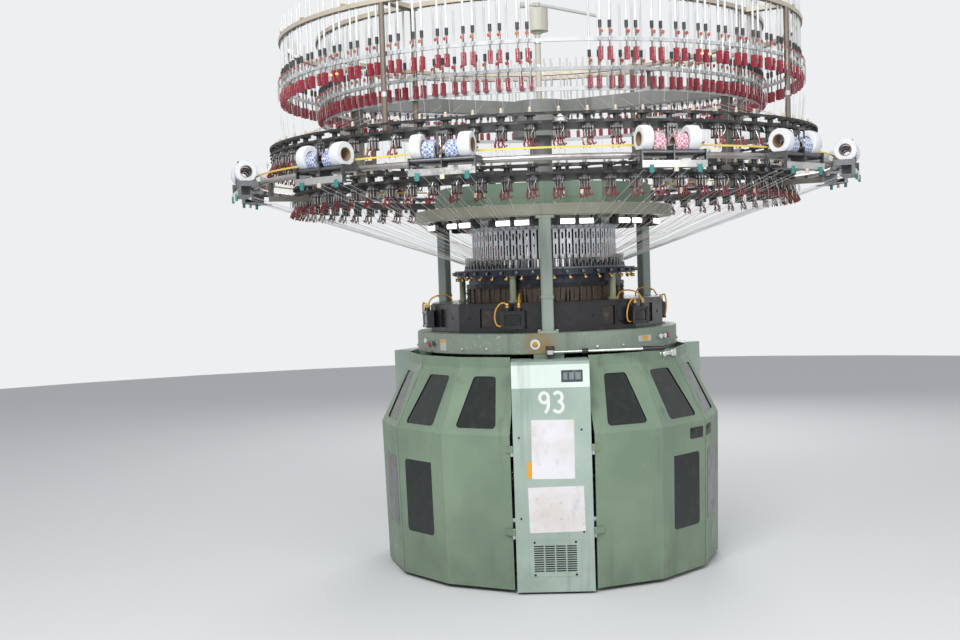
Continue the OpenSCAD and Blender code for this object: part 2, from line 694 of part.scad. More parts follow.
// Rings that carry feeders, pipe and roller units
arm_low = low_z - 20;
arm_up = up_z - 20;
low_bar = low_r - 48;
up_bar = up_r - 48;
module ring_posts() {
  color([0.4, 0.42, 0.42]) {
    for (a = [60, 180, 300]) az(a) {
      block(hang_w, hang_r - hang_w / 2, hang_r + hang_w / 2, arm_low, beam_z);
      block(34, hang_r, pipe_ring_r + 8, arm_low, low_z + 4);
      block(34, pipe_ring_r - 8, pipe_ring_r + 8, arm_low, pipe_z - pipe_r);
      block(34, hang_r, up_bar + 10, arm_up, up_z + 4);
    }
    ring(low_bar, low_bar + 12, low_z, low_z + bar_h, 144);
    ring(up_bar, up_bar + 12, up_z, up_z + bar_h, 144);
  }
}
module pipe_ring() {
  color([0.62, 0.62, 0.6]) translate([0, 0, pipe_z]) rotate_extrude($fn = 120)
    translate([pipe_ring_r, 0]) circle(pipe_r, $fn = 24);
}
module feeders_2d(r, s) {
  for (k = [0:feeders - 1]) rotate([0, 0, (k + 0.5) * 360 / feeders]) translate([0, -r]) circle(s, $fn = 16);
}
module feeder_layer(z0, h) { translate([0, 0, z0]) linear_extrude(h) children(); }
module feeder_ring(r, bar, z) {
  reach = r - bar - 4 - fit_gap / 2;
  feeder_layer(z - 40, 50) feeders_2d(r, 21);
  feeder_layer(z - 4, 4) feeders_2d(r, 27);
  feeder_layer(z + 10, 12) {
    feeders_2d(r, 18);
    for (k = [0:feeders - 1]) rotate([0, 0, (k + 0.5) * 360 / feeders])
      translate([-14, -r - 8]) square([28, reach]);
  }
  feeder_layer(z + 22, 16) feeders_2d(r, pulley_r);
  feeder_layer(z + 38, 20) feeders_2d(r, 13);
  feeder_layer(z + 58, 16) feeders_2d(r, pulley_r);
  feeder_layer(z + 74, 10) feeders_2d(r, 8);
}
module lower_feeder_ring() { color([0.25, 0.26, 0.27]) feeder_ring(low_r, low_bar, low_z); }
module upper_feeder_ring() { color([0.25, 0.26, 0.27]) feeder_ring(up_r, up_bar, up_z); }
module feeder_belts() {
  color([0.07, 0.07, 0.07]) for (p = [[low_r, low_z], [up_r, up_z]], d = [24, 60])
    ring(p[0] + pulley_r + run, p[0] + pulley_r + run + belt_t, p[1] + d, p[1] + d + 12, 144);
}
module unit_frame() {
  r0 = pipe_ring_r - 18;
  r1 = unit_r + 48;
  side = unit_w / 2 - 3;
  pipe_y = sqrt(pow(pipe_ring_r, 2) - pow(side, 2));
  for (s = [-1, 1]) translate([s * side - 3, 0, 0]) difference() {
    rotate([90, 0, 90]) linear_extrude(6) polygon([[-r0 + 10, pipe_z - 20], [-r0 + 10, pipe_z + 1],
      [-pipe_y - 16, pipe_z + 1], [-pipe_y - 22, pipe_z + 16], [-r1, pipe_z + 16], [-r1, pipe_z - 60],
      [-r1 + 18, pipe_z - 60], [-r1 + 18, pipe_z - 12], [-pipe_y - 24, pipe_z - 12], [-pipe_y - 18, pipe_z - 20]]);
    translate([-1, -pipe_y, pipe_z]) rotate([0, 90, 0]) cylinder(r = pipe_r + 0.6, h = 8, $fn = 32);
  }
  block(unit_w, pipe_ring_r + pipe_r + 22, r1, pipe_z - 60, pipe_z - 56);
  block(unit_w, r1 - 3, r1, pipe_z - 62, pipe_z - 32);
  for (d = [-1, 1]) translate([-unit_w / 2 + 2, -unit_r + d * roller_dr, roller_z])
    rotate([0, 90, 0]) cylinder(r = roller_r, h = unit_w - 4, $fn = 24);
  // wire guide plate in the middle
  block(5, pipe_ring_r + pipe_r + 22, unit_r + 44, pipe_z - 58, pipe_z + 34);
  translate([0, -unit_r - 30, pipe_z + 30]) difference() {
    translate([-24, 0, 0]) cube([48, 5, 94]);
    translate([-17, -1, 8]) cube([34, 7, 78]);
  }
}
module elastane_units() { color([0.2, 0.21, 0.22]) for (a = unit_az) az(a) unit_frame(); }
function seat_dz(r) = sqrt(pow(r + roller_r + run, 2) - pow(roller_dr, 2));
module spool(x, r, w, bore) {
  translate([x, -unit_r, roller_z + seat_dz(r)]) rotate([0, 90, 0]) difference() {
    cylinder(r = r, h = w, $fn = 48);
    translate([0, 0, -1]) cylinder(r = bore, h = w + 2, $fn = 24);
  }
}
module elastane_spools() {
  color([0.93, 0.93, 0.92]) for (a = unit_az) az(a) {
    spool(-unit_w / 2 + 16, spool_r, 55, spool_bore);
    spool(-unit_w / 2 + 78, sleeve_r, 40, spool_bore - 6);
    spool(30, sleeve_r, 40, spool_bore - 6);
    spool(unit_w / 2 - 71, spool_r, 55, spool_bore);
  }
}

// Stop motions and yarn tubes
function gap_pair(k) = (k == 0 || k == 1);
module row_2d(r) {
  for (k = [0:pairs - 1]) if (!gap_pair(k)) for (s = [-1, 1])
    rotate([0, 0, (k + 0.3) * 360 / pairs + s * 21.5 / r * 57.3]) translate([0, -r]) children();
}
module stop_row(r, z) {
  feeder_layer(z, 17) difference() { circle(r - 12, $fn = 144); circle(r - 18, $fn = 144); }
  feeder_layer(z - 84, 56) row_2d(r) translate([0, -3]) square([19, 24], center = true);
  feeder_layer(z - 30, 87) row_2d(r) circle(4, $fn = 16);
  feeder_layer(z + 3, 11) row_2d(r) translate([-4, 0]) square([8, 14]);
  feeder_layer(z + 55, 32) row_2d(r) circle(8, $fn = 16);
}
module stop_motions() {
  color([0.6, 0.12, 0.14]) {
    stop_row(row1_r, rail1_z);
    stop_row(row2_r, rail2_z);
  }
}
module stop_motion_frame() {
  rp1 = up_bar + 6;
  rp2 = row2_r - 36;
  color([0.5, 0.47, 0.43]) {
    for (a = stand_az) az(a) {
      translate([0, -rp1, up_z + bar_h]) cylinder(r = post_r, h = tube_ring_z - up_z - bar_h);
      translate([0, -rp2, up_z + bar_h + 8]) cylinder(r = post_r, h = tube_ring_z - up_z - bar_h - 8);
      block(20, rp2, rp1, up_z + bar_h + 8, up_z + bar_h + 30);
      block(26, rp2, row2_r - 18 - fit_gap, rail2_z, rail2_z + 17);
      block(26, row1_r - 12 + run, rp1, rail1_z - 2, rail1_z + 17);
      block(26, rp2, row2_r - 6, rail3_z, rail3_z + 20);
    }
    ring(row2_r - 18, row2_r - 12, rail3_z, rail3_z + 20, 144);
    for (r = [row1_r, row2_r]) ring(r - 14, r + 14, tube_ring_z, tube_ring_z + 22, 144);
    for (a = stand_az) az(a) block(40, row2_r - 50, row1_r + 14, tube_ring_z, tube_ring_z + 22);
  }
}
module yarn_tubes() {
  color([0.86, 0.84, 0.78]) {
    feeder_layer(rail1_z + 87, tube_top - rail1_z - 87) row_2d(row1_r) circle(5, $fn = 16);
    feeder_layer(rail2_z + 87, tube_top - rail2_z - 87) row_2d(row2_r) circle(5, $fn = 16);
  }
}

// Rotating group: gear, needle cylinder, fabric take-down
roller_y = 41;
td_roller_r = 38;
td_z = 640;
td_x = 330;
module gear_2d(n, add, ded) {
  pr = gear_m * n / 2;
  p = 360 / n;
  polygon([for (k = [0:n - 1], q = [[-0.36, -ded], [-0.11, add], [0.11, add], [0.36, -ded]])
    [(pr + q[1]) * cos((k + q[0]) * p), (pr + q[1]) * sin((k + q[0]) * p)]]);
}
module main_gear() {
  color([0.4, 0.4, 0.42]) translate([0, 0, gear_z]) linear_extrude(gear_b) difference() {
    gear_2d(gear_n, 6, 10);
    circle(cyl_r - cyl_wall + 20, $fn = 96);
  }
}
module drive_pinion() {
  color([0.5, 0.5, 0.52]) translate([0, drive_y, 0]) {
    translate([0, 0, gear_z]) linear_extrude(gear_b) rotate([0, 0, 180 / pinion_n]) gear_2d(pinion_n, 6, 10);
    translate([0, 0, bed_z0 - 60]) cylinder(r = shaft_r, h = gear_z - bed_z0 + 62);
  }
}
module drive_motor() {
  color([0.35, 0.42, 0.45]) translate([0, drive_y, 0]) difference() {
    union() {
      translate([0, 0, bed_z0 - 14]) cylinder(r = motor_r, h = 14);
      translate([0, 0, bed_z0 - motor_h]) cylinder(r = motor_r - 10, h = motor_h - 10);
      for (k = [0:11]) rotate([0, 0, 30 * k]) translate([0, -3, bed_z0 - motor_h + 20])
        cube([motor_r - 4, 6, motor_h - 80]);
      translate([0, 0, bed_z0 - motor_h - 20]) cylinder(r = motor_r - 16, h = 30);
    }
    translate([0, 0, bed_z0 - 62]) cylinder(r = shaft_r + fit, h = 80);
  }
}
module needle_cylinder() {
  n = 72;
  color([0.66, 0.67, 0.68]) translate([0, 0, gear_z + gear_b]) difference() {
    union() {
      cylinder(r = cyl_r, h = cyl_top - gear_z - gear_b, $fn = 120);
      cylinder(r = cyl_r + 45, h = 20, $fn = 120);
    }
    translate([0, 0, -1]) cylinder(r = cyl_r - cyl_wall, h = 600, $fn = 120);
    for (k = [0:n - 1]) az(360 / n * k) block(3, cyl_r - 3, cyl_r + 5, 220, 400);
  }
}
module takedown_frame() {
  zt = gear_z;
  color([0.42, 0.45, 0.46]) difference() {
    union() {
      ring(cyl_r - cyl_wall + 20, shelf_r - 5, zt - 30, zt);
      for (s = [-1, 1]) {
        translate([s > 0 ? td_x : -td_x - 20, -140, td_z - 360]) cube([20, 280, 400]);
        translate([s > 0 ? td_x : -td_x - 20, -50, td_z]) cube([20, 100, zt - 14 - td_z]);
        translate([s > 0 ? td_x : -td_x - 90, -50, zt - 30]) cube([90, 100, 16]);
      }
      translate([-td_x, -120, td_z - 350]) cube([2 * td_x, 16, 50]);
      translate([-td_x, 104, td_z - 350]) cube([2 * td_x, 16, 50]);
    }
    for (s = [-1, 1]) translate([-td_x - 30, s * roller_y, td_z]) rotate([0, 90, 0])
      cylinder(r = 15 + fit, h = 2 * td_x + 60);
    translate([-td_x - 30, 0, td_z - 220]) rotate([0, 90, 0]) cylinder(r = 12 + fit, h = 2 * td_x + 60);
  }
}
module td_roller(y, r, j, z) {
  translate([0, y, z]) rotate([0, 90, 0]) {
    translate([0, 0, -td_x + 3]) cylinder(r = r, h = 2 * td_x - 6);
    translate([0, 0, -td_x - 24]) cylinder(r = j, h = 2 * td_x + 48);
  }
}

levelling_feet();
leg_frame();
leg_covers();
vent_grille();
door_hinges();
door_right(0);  // door_front_right
door_left(0);  // door_front_left
door_left(120);  // door_rear_right_a
door_right(120);  // door_rear_right_b
door_left(240);  // door_rear_left_a
door_right(240);  // door_rear_left_b
window_set();  // windows_front_right
mirror([1, 0, 0]) window_set();  // windows_front_left
az(120) mirror([1, 0, 0]) window_set();  // windows_rear_right_a
az(120) window_set();  // windows_rear_right_b
az(240) mirror([1, 0, 0]) window_set();  // windows_rear_left_a
az(240) window_set();  // windows_rear_left_b
bed_ring();
button(0, [0.9, 0.9, 0.88]);  // button_left_white
button(1, [0.8, 0.1, 0.1]);  // button_left_red
button(2, [0.1, 0.1, 0.1]);  // button_left_black
button(3, [0.9, 0.9, 0.88]);  // button_right_white_a
button(4, [0.9, 0.9, 0.88]);  // button_right_white_b
button(5, [0.8, 0.1, 0.1]);  // button_right_red
lever_bracket();
hand_lever();
actuator_casing();
actuator_boxes();
signal_cables();
support_posts();
cam_ring();
sinker_plate();
yarn_finger_ring();
striper_ring();
taut_yarns();
columns();
upper_ring();
work_lights();
top_housing();
beam_star();
fan_motor();
fan_arm();
ring_posts();
pipe_ring();
elastane_units();
elastane_spools();
lower_feeder_ring();
upper_feeder_ring();
feeder_belts();
stop_motion_frame();
stop_motions();
yarn_tubes();
main_gear();
needle_cylinder();
takedown_frame();
color("dimgray") td_roller(-roller_y, td_roller_r, 15, td_z);  // takedown_roller_front
color("dimgray") td_roller(roller_y, td_roller_r, 15, td_z);  // takedown_roller_back
color("silver") td_roller(0, 30, 12, td_z - 220);  // cloth_bar
drive_pinion();
drive_motor();
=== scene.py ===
# %% [markdown]
# # A large circular knitting machine
# This notebook dresses an already engineered machine. The solids come in as a fixed frame,
# and each cell below adds one finish or one set of small pieces. Everything is in metres,
# the machine's axis is Z, and the front faces -Y.

# %% Load the engineered machine
import math

import bmesh
import bpy
import numpy as np
from mathutils import Matrix


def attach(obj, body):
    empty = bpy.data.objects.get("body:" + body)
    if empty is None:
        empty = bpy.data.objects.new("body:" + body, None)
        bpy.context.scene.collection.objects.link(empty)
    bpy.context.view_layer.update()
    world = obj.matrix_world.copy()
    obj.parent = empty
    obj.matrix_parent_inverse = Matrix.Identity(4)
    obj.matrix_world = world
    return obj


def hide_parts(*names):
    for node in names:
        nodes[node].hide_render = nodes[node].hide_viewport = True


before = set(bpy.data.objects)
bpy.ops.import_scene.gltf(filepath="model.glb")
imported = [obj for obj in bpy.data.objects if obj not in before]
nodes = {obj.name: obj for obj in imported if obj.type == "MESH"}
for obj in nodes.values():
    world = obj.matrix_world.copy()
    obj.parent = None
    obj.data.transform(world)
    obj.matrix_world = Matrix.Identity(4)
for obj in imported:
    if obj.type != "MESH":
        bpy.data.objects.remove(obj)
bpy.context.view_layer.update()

# %% [markdown]
# ## The camera
# The view was worked out from the machine itself: level rings show as ellipses, and their
# widths and heights fix where the camera stood. A focal length in pixels turns into a lens
# by the ratio of sensor width to picture width.

# %% Camera
PICTURE_W, FOCAL_PX = 960, 1249.0
SENSOR_MM = 36.0
CAMERA_SPOT = (-0.0903, -6.859, 1.5876)
CAMERA_TURNS = (-0.0397, -0.0425, -0.0325)  # yaw, pitch and roll in radians


def camera_axes(yaw, pitch, roll):
    """Right, up and back directions of a camera that looks along +Y, then turns by yaw, pitch, roll."""
    look = np.array([math.sin(yaw) * math.cos(pitch), math.cos(yaw) * math.cos(pitch), math.sin(pitch)])
    right = np.array([math.cos(yaw), -math.sin(yaw), 0.0])
    up = np.cross(right, look)
    side = right * math.cos(roll) + up * math.sin(roll)
    top = -right * math.sin(roll) + up * math.cos(roll)
    return side, top, -look


camera_data = bpy.data.cameras.new("viewpoint")
camera_data.sensor_width = SENSOR_MM
camera_data.lens = FOCAL_PX / PICTURE_W * SENSOR_MM
camera_data.clip_end = 60.0
camera = bpy.data.objects.new("viewpoint", camera_data)
bpy.context.scene.collection.objects.link(camera)
side, top, back = camera_axes(*CAMERA_TURNS)
place = np.eye(4)
place[:3, 0], place[:3, 1], place[:3, 2] = side, top, back
place[:3, 3] = CAMERA_SPOT
camera.matrix_world = Matrix(place.tolist())
bpy.context.scene.camera = camera
print("lens", round(camera_data.lens, 2), "mm")

# %% [markdown]
# ## Light and floor
# A plain studio: one broad lamp high at the front, a weaker one to its right, one behind,
# and an even world. High lamps leave the side panels darker than the sloped ones, as the
# lamps of a mill do. The backdrop is white for the camera and in reflections only.

# %% Studio
scene = bpy.context.scene
scene.view_settings.view_transform = "Standard"
world = bpy.data.worlds.new("studio")
scene.world = world
world.use_nodes = True
tree = world.node_tree
tree.nodes.clear()


def backdrop(colour, strength):
    """A background of one colour."""
    made = tree.nodes.new("ShaderNodeBackground")
    made.inputs["Color"].default_value = (*colour, 1.0)
    made.inputs["Strength"].default_value = strength
    return made.outputs[0]


out = tree.nodes.new("ShaderNodeOutputWorld")
soft, white = backdrop((0.95, 0.97, 1.0), 0.46), backdrop((0.9, 0.91, 0.92), 0.95)
seen = tree.nodes.new("ShaderNodeLightPath")
either = tree.nodes.new("ShaderNodeMath")
either.operation = "MAXIMUM"
blend = tree.nodes.new("ShaderNodeMixShader")
tree.links.new(seen.outputs["Is Camera Ray"], either.inputs[0])
tree.links.new(seen.outputs["Is Glossy Ray"], either.inputs[1])
for source, socket in zip((either.outputs[0], soft, white), blend.inputs):
    tree.links.new(source, socket)
tree.links.new(blend.outputs[0], out.inputs[0])


def lamp(name, size, power, spot, aim):
    """A square area lamp at spot that faces aim."""
    data = bpy.data.lights.new(name, "AREA")
    data.size, data.energy = size, power
    obj = bpy.data.objects.new(name, data)
    scene.collection.objects.link(obj)
    away = np.array(spot, float) - np.array(aim, float)
    z = away / np.linalg.norm(away)
    x = np.cross([0.0, 0.0, 1.0], z)
    x = x / np.linalg.norm(x)
    m = np.eye(4)
    m[:3, 0], m[:3, 1], m[:3, 2], m[:3, 3] = x, np.cross(z, x), z, spot
    obj.matrix_world = Matrix(m.tolist())


lamp("key", 2.6, 290.0, (-1.6, -5.6, 5.0), (0, 0, 1.2))
lamp("fill", 3.0, 90.0, (3.0, -5.2, 3.4), (0, 0, 1.2))
lamp("rear", 3.0, 170.0, (1.0, 6.0, 4.6), (0, 0, 1.6))
print("lamps", len(bpy.data.lights))

# %% [markdown]
# ## Surfaces from grids
# Each new piece below is a grid of points, worked out with whole arrays, and joined into
# four-sided faces. The helpers here make the faces of a grid, turn a profile about an axis,
# carry a circle along a path, and copy a small part along a row or around the machine.

# %% Grids, lofts and copies
def grid_quads(nu, nv, close_u):
    """Faces of an nu by nv grid, closed along v, whose point (i, j) has index i * nv + j."""
    i, j = np.meshgrid(np.arange(nu if close_u else nu - 1), np.arange(nv), indexing="ij")
    i2, j2 = (i + 1) % nu, (j + 1) % nv
    return np.stack([i * nv + j, i * nv + j2, i2 * nv + j2, i2 * nv + j], -1).reshape(-1, 4)


def closed_loop(rings):
    """A skin over rings of equal point count that also closes from the last ring to the first."""
    return rings.reshape(-1, 3), grid_quads(*rings.shape[:2], close_u=True)


def loft(rings):
    """A closed skin over rings of equal point count; the middles of the end rings close it."""
    rings = np.asarray(rings, float)
    caps = [np.broadcast_to(rings[k].mean(0), rings[k].shape)[None] for k in (0, -1)]
    rings = np.concatenate([caps[0], rings, caps[1]])
    return rings.reshape(-1, 3), grid_quads(*rings.shape[:2], close_u=False)


def circle(n):
    """Unit circle of n points, as x and y."""
    t = np.linspace(0, 2 * math.pi, n, endpoint=False)
    return np.stack([np.cos(t), np.sin(t)], -1)


def turned_points(profile, n):
    """A profile of (radius, height) pairs at n azimuths: point = (r cos t, r sin t, z)."""
    p = np.asarray(profile, float)
    heights = np.broadcast_to(p[:, None, 1:], (len(p), n, 1))
    return np.concatenate([p[:, None, :1] * circle(n)[None], heights], -1)


def turned(profile, n):
    """A profile turned about Z and closed at both ends."""
    return loft(turned_points(profile, n))


def closed_turn(outline, n=32):
    """A closed outline of (radius, height) points turned about Z, with no poles."""
    return closed_loop(turned_points(outline, n))


def at_height(outline, z):
    """A flat outline as points at height z."""
    return np.concatenate([outline, np.full((len(outline), 1), z)], 1)


def rounded_rectangle(w, h, r, n=3):
    """Corner arcs of radius r, joined by straight sides, around a w by h rectangle."""
    t = (np.arange(4)[:, None] * 90 + np.linspace(0, 90, n)[None]) * math.pi / 180
    middle = np.array([[1, 1], [-1, 1], [-1, -1], [1, -1]]) * [w / 2 - r, h / 2 - r]
    return (middle[:, None] + r * np.stack([np.cos(t), np.sin(t)], -1)).reshape(-1, 2)


def pillow(w, d, h, r, bevel):
    """A block with rounded upright edges from z = 0 to h: one outline, drawn in at both ends."""
    full = rounded_rectangle(w, d, r)
    small = rounded_rectangle(w - 2 * bevel, d - 2 * bevel, max(r - bevel, 0.2 * r))
    steps = [(small, 0), (full, bevel), (full, h - bevel), (small, h)]
    return loft([at_height(outline, z) for outline, z in steps])


def swept(path, radius, sides):
    """A circle carried along a path: point = path + radius (normal cos t + binormal sin t)."""
    p = np.asarray(path, float)
    tangent = np.gradient(p, axis=0)
    tangent /= np.linalg.norm(tangent, axis=1)[:, None]
    steep = np.abs(tangent[:, 2:]) > 0.9
    lean = np.where(steep, [[1.0, 0.02, 0.0]], [[0.0, 0.0, 1.0]])
    if steep.any() and not steep.all():
        lean = np.broadcast_to([[0.57, 0.82, 0.05]], p.shape)
    normal = np.cross(tangent, lean)
    normal /= np.linalg.norm(normal, axis=1)[:, None]
    binormal = np.cross(tangent, normal)
    c = circle(sides)
    return loft(p[:, None] + radius * (normal[:, None] * c[None, :, :1] + binormal[:, None] * c[None, :, 1:]))


def moved(part, shift=(0, 0, 0), tip=0.0, roll=0.0):
    """A part tipped about X, rolled about Y (degrees), then shifted."""
    v, f = part
    a, b = np.radians([tip, roll])
    rx = np.array([[1, 0, 0], [0, math.cos(a), -math.sin(a)], [0, math.sin(a), math.cos(a)]])
    ry = np.array([[math.cos(b), 0, math.sin(b)], [0, 1, 0], [-math.sin(b), 0, math.cos(b)]])
    return v @ (ry @ rx).T + np.asarray(shift, float), f


def joined(parts):
    """Several parts as one set of points and faces."""
    points, faces = zip(*parts)
    start = np.cumsum([0] + [len(v) for v in points[:-1]])
    return np.concatenate(points), np.concatenate([f + first for f, first in zip(faces, start)])


def copies(part, shifts):
    """Shifted copies of a part as one."""
    return joined([moved(part, shift) for shift in shifts])


def around(part, azimuths):
    """Copies of a part made at the front, one at each azimuth: x and y turn by the azimuth."""
    v, f = part
    t = np.radians(np.asarray(azimuths, float))[:, None]
    x = v[:, 0] * np.cos(t) - v[:, 1] * np.sin(t)
    y = v[:, 0] * np.sin(t) + v[:, 1] * np.cos(t)
    points = np.stack([x, y, np.broadcast_to(v[:, 2], x.shape)], -1).reshape(-1, 3)
    return points, (f[None] + (np.arange(len(t)) * len(v))[:, None, None]).reshape(-1, 4)


def facing(part, radius, height):
    """A part made upright about Z is laid at the front so that its top points outwards."""
    return moved(part, (0, -radius, height), tip=90)


CREASE = math.radians(35)


def piece(name, part, material, body="frame"):
    """Puts a part into a mesh, closes its poles, and lets it ride on a body."""
    v, f = part
    mesh = bpy.data.meshes.new(name)
    mesh.from_pydata(v.tolist(), [], f.tolist())
    work = bmesh.new()
    work.from_mesh(mesh)
    bmesh.ops.remove_doubles(work, verts=work.verts, dist=2e-6)
    bmesh.ops.recalc_face_normals(work, faces=work.faces)
    work.to_mesh(mesh)
    work.free()
    mesh.polygons.foreach_set("use_smooth", np.ones(len(mesh.polygons), bool))
    mesh.set_sharp_from_angle(angle=CREASE)
    mesh.materials.append(material)
    obj = bpy.data.objects.new(name, mesh)
    scene.collection.objects.link(obj)
    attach(obj, body)
    return obj


print("helpers ready")

# %% [markdown]
# ## Finishes
# A painted panel that has worked in a mill for years is never one colour. Broad noise makes
# faded patches, fine noise makes scuffs, stretched noise makes drips, and a height ramp
# gathers dirt near the floor. All of it reads Object coordinates, so it stays on the metal.

# %% Finish helpers
class Finish:
    """One node material, with short calls for the nodes used again and again."""

    def __init__(self, name, colour, metallic=0.0, rough=0.5, coat=0.0):
        self.material = bpy.data.materials.new(name)
        self.material.use_nodes = True
        self.material.diffuse_color = (*colour, 1.0)
        self.tree = self.material.node_tree
        self.shader = self.tree.nodes["Principled BSDF"]
        self.set(Base_Color=(*colour, 1.0), Metallic=metallic, Roughness=rough, Coat_Weight=coat)
        self.where = self.node("ShaderNodeTexCoord").outputs["Object"]
        self.colour = self.rgb(colour)

    def set(self, **values):
        """Sets inputs of the shader; an underscore stands for the blank in a name."""
        for key, value in values.items():
            self.shader.inputs[key.replace("_", " ")].default_value = value

    def node(self, kind, **settings):
        made = self.tree.nodes.new(kind)
        for key, value in settings.items():
            setattr(made, key, value)
        return made

    def link(self, a, b):
        self.tree.links.new(a, b)

    def rgb(self, colour):
        made = self.node("ShaderNodeRGB")
        made.outputs[0].default_value = (*colour, 1.0)
        return made.outputs[0]

    def noise(self, scale, detail, stretch=(1, 1, 1), sharp=0.55):
        """Noise on stretched Object coordinates."""
        mapping = self.node("ShaderNodeMapping")
        mapping.inputs["Scale"].default_value = stretch
        self.link(self.where, mapping.inputs["Vector"])
        made = self.node("ShaderNodeTexNoise")
        made.inputs["Scale"].default_value = scale
        made.inputs["Detail"].default_value = detail
        made.inputs["Roughness"].default_value = sharp
        self.link(mapping.outputs[0], made.inputs["Vector"])
        return made.outputs["Fac"]

    def between(self, value, low, high, a=0.0, b=1.0):
        """A value rescaled from low..high to a..b, clamped."""
        made = self.node("ShaderNodeMapRange")
        for slot, number in zip((1, 2, 3, 4), (low, high, a, b)):
            made.inputs[slot].default_value = number
        self.link(value, made.inputs[0])
        return made.outputs[0]

    def patches(self, scale, detail, low, high, a=0.0, b=1.0, stretch=(1, 1, 1), sharp=0.55):
        """Noise cut to patches: a where it is below low, b where it is above high."""
        return self.between(self.noise(scale, detail, stretch, sharp), low, high, a, b)

    def axis(self, letter):
        made = self.node("ShaderNodeSeparateXYZ")
        self.link(self.where, made.inputs[0])
        return made.outputs[letter]

    def times(self, a, b, how="MULTIPLY"):
        made = self.node("ShaderNodeMath", operation=how)
        self.link(a, made.inputs[0])
        if isinstance(b, (int, float)):
            made.inputs[1].default_value = b
        else:
            self.link(b, made.inputs[1])
        return made.outputs[0]

    def tint(self, amount, colour):
        """Mixes a colour over what is there by an amount."""
        made = self.node("ShaderNodeMix", data_type="RGBA")
        self.link(amount, made.inputs[0])
        self.link(self.colour, made.inputs[6])
        if isinstance(colour, tuple):
            made.inputs[7].default_value = (*colour, 1.0)
        else:
            self.link(colour, made.inputs[7])
        self.colour = made.outputs[2]
        return self

    def near(self, spot, radius, soft):
        """1 close to a point in metres, falling to 0."""
        made = self.node("ShaderNodeVectorMath", operation="DISTANCE")
        self.link(self.where, made.inputs[0])
        made.inputs[1].default_value = spot
        return self.between(made.outputs["Value"], radius, radius + soft, 1.0, 0.0)

    def reach(self):
        """Distance from the machine's axis."""
        flat = self.node("ShaderNodeMapping")
        flat.inputs["Scale"].default_value = (1, 1, 0)
        self.link(self.where, flat.inputs["Vector"])
        made = self.node("ShaderNodeVectorMath", operation="LENGTH")
        self.link(flat.outputs[0], made.inputs[0])
        return made.outputs["Value"]

    def roughness(self, value, low, high):
        self.link(self.between(value, 0.3, 0.7, low, high), self.shader.inputs["Roughness"])
        return self

    def bump(self, value, depth, distance=0.001):
        made = self.node("ShaderNodeBump")
        made.inputs["Strength"].default_value = depth
        made.inputs["Distance"].default_value = distance
        self.link(value, made.inputs["Height"])
        self.link(made.outputs[0], self.shader.inputs["Normal"])
        return self

    def done(self):
        self.link(self.colour, self.shader.inputs["Base Color"])
        return self.material


def dress(material, *names):
    """Gives a finish to engineered solids."""
    for name in names:
        nodes[name].data.materials.clear()
        nodes[name].data.materials.append(material)


# %% Enamel, new and worn
GRIME, PRIMER, RUST = (0.05, 0.045, 0.035), (0.55, 0.56, 0.53), (0.16, 0.055, 0.02)


def enamel(name, colour, faded, rough=0.42, floor_dirt=0.0, wear=0.25, rust=0.0):
    """Paint with faded patches, drips, scuffs and dirt that gathers towards the floor."""
    f = Finish(name, colour, rough=rough)
    f.tint(f.patches(2.3, 5, 0.42, 0.68), faded)
    drips = f.patches(14, 3, 0.56, 0.74, 0.0, 0.35, (1, 1, 0.08))
    f.tint(drips, GRIME)
    scuffs = f.patches(46, 8, 0.62, 0.66, 0.0, wear, (1, 1, 0.5), 0.7)
    f.tint(f.times(scuffs, f.patches(3.1, 2, 0.5, 0.62)), PRIMER)
    if floor_dirt:
        low = f.between(f.axis("Z"), 0.0, 0.55, floor_dirt, 0.0)
        f.tint(f.times(low, f.patches(7, 6, 0.3, 0.7)), GRIME)
    if rust:
        spots = f.patches(19, 7, 0.6, 0.68, 0.0, rust, (1, 1, 0.6), 0.65)
        f.tint(f.times(spots, f.patches(2.0, 3, 0.5, 0.62)), RUST)
    f.roughness(f.noise(9, 5), rough - 0.08, rough + 0.16)
    f.bump(f.noise(90, 3), 0.06)
    return f.done()


door_green = enamel("door_green_enamel", (0.165, 0.235, 0.165), (0.215, 0.295, 0.205), floor_dirt=0.35,
                    wear=0.12)
cover_green = enamel("cover_pale_enamel", (0.31, 0.40, 0.345), (0.40, 0.485, 0.43), floor_dirt=0.3, wear=0.3)
casting_green = enamel("casting_green_enamel", (0.15, 0.225, 0.165), (0.21, 0.285, 0.215), rust=0.4)
dress(door_green, *[n for n in nodes if n.startswith("door_") and n != "door_hinges"])
dress(casting_green, "leg_frame", "top_housing")
dress(cover_green, "leg_covers", "vent_grille")
print("paint on doors, covers and castings")

# %% [markdown]
# ## Bed, columns and upper ring
# The bed is the table that workers lean over. Its paint is worn grey-green, with a brown
# stain under the front column where oil and rust ran down. The stain is a distance from one
# point, broken up by noise.

# %% Bed, columns, upper ring
f = Finish("bed_stained_enamel", (0.20, 0.25, 0.20), rough=0.42)
f.tint(f.patches(2.3, 5, 0.42, 0.68), (0.28, 0.33, 0.27))
f.tint(f.patches(16, 3, 0.56, 0.74, 0.0, 0.4, (1, 1, 0.08)), GRIME)
scuffed = f.times(f.patches(46, 8, 0.6, 0.66), f.patches(3.1, 2, 0.48, 0.6))
f.tint(scuffed, (0.42, 0.43, 0.4))
stain = f.times(f.near((-0.045, -0.7, 1.20), 0.045, 0.05), f.patches(24, 6, 0.25, 0.5))
f.tint(stain, (0.26, 0.18, 0.075))
rusted = f.times(f.patches(21, 7, 0.6, 0.67), f.patches(2.4, 3, 0.5, 0.6))
f.tint(rusted, (0.15, 0.06, 0.025))
f.roughness(f.noise(9, 5), 0.34, 0.6)
f.bump(f.noise(90, 3), 0.06)
dress(f.done(), "bed_ring")
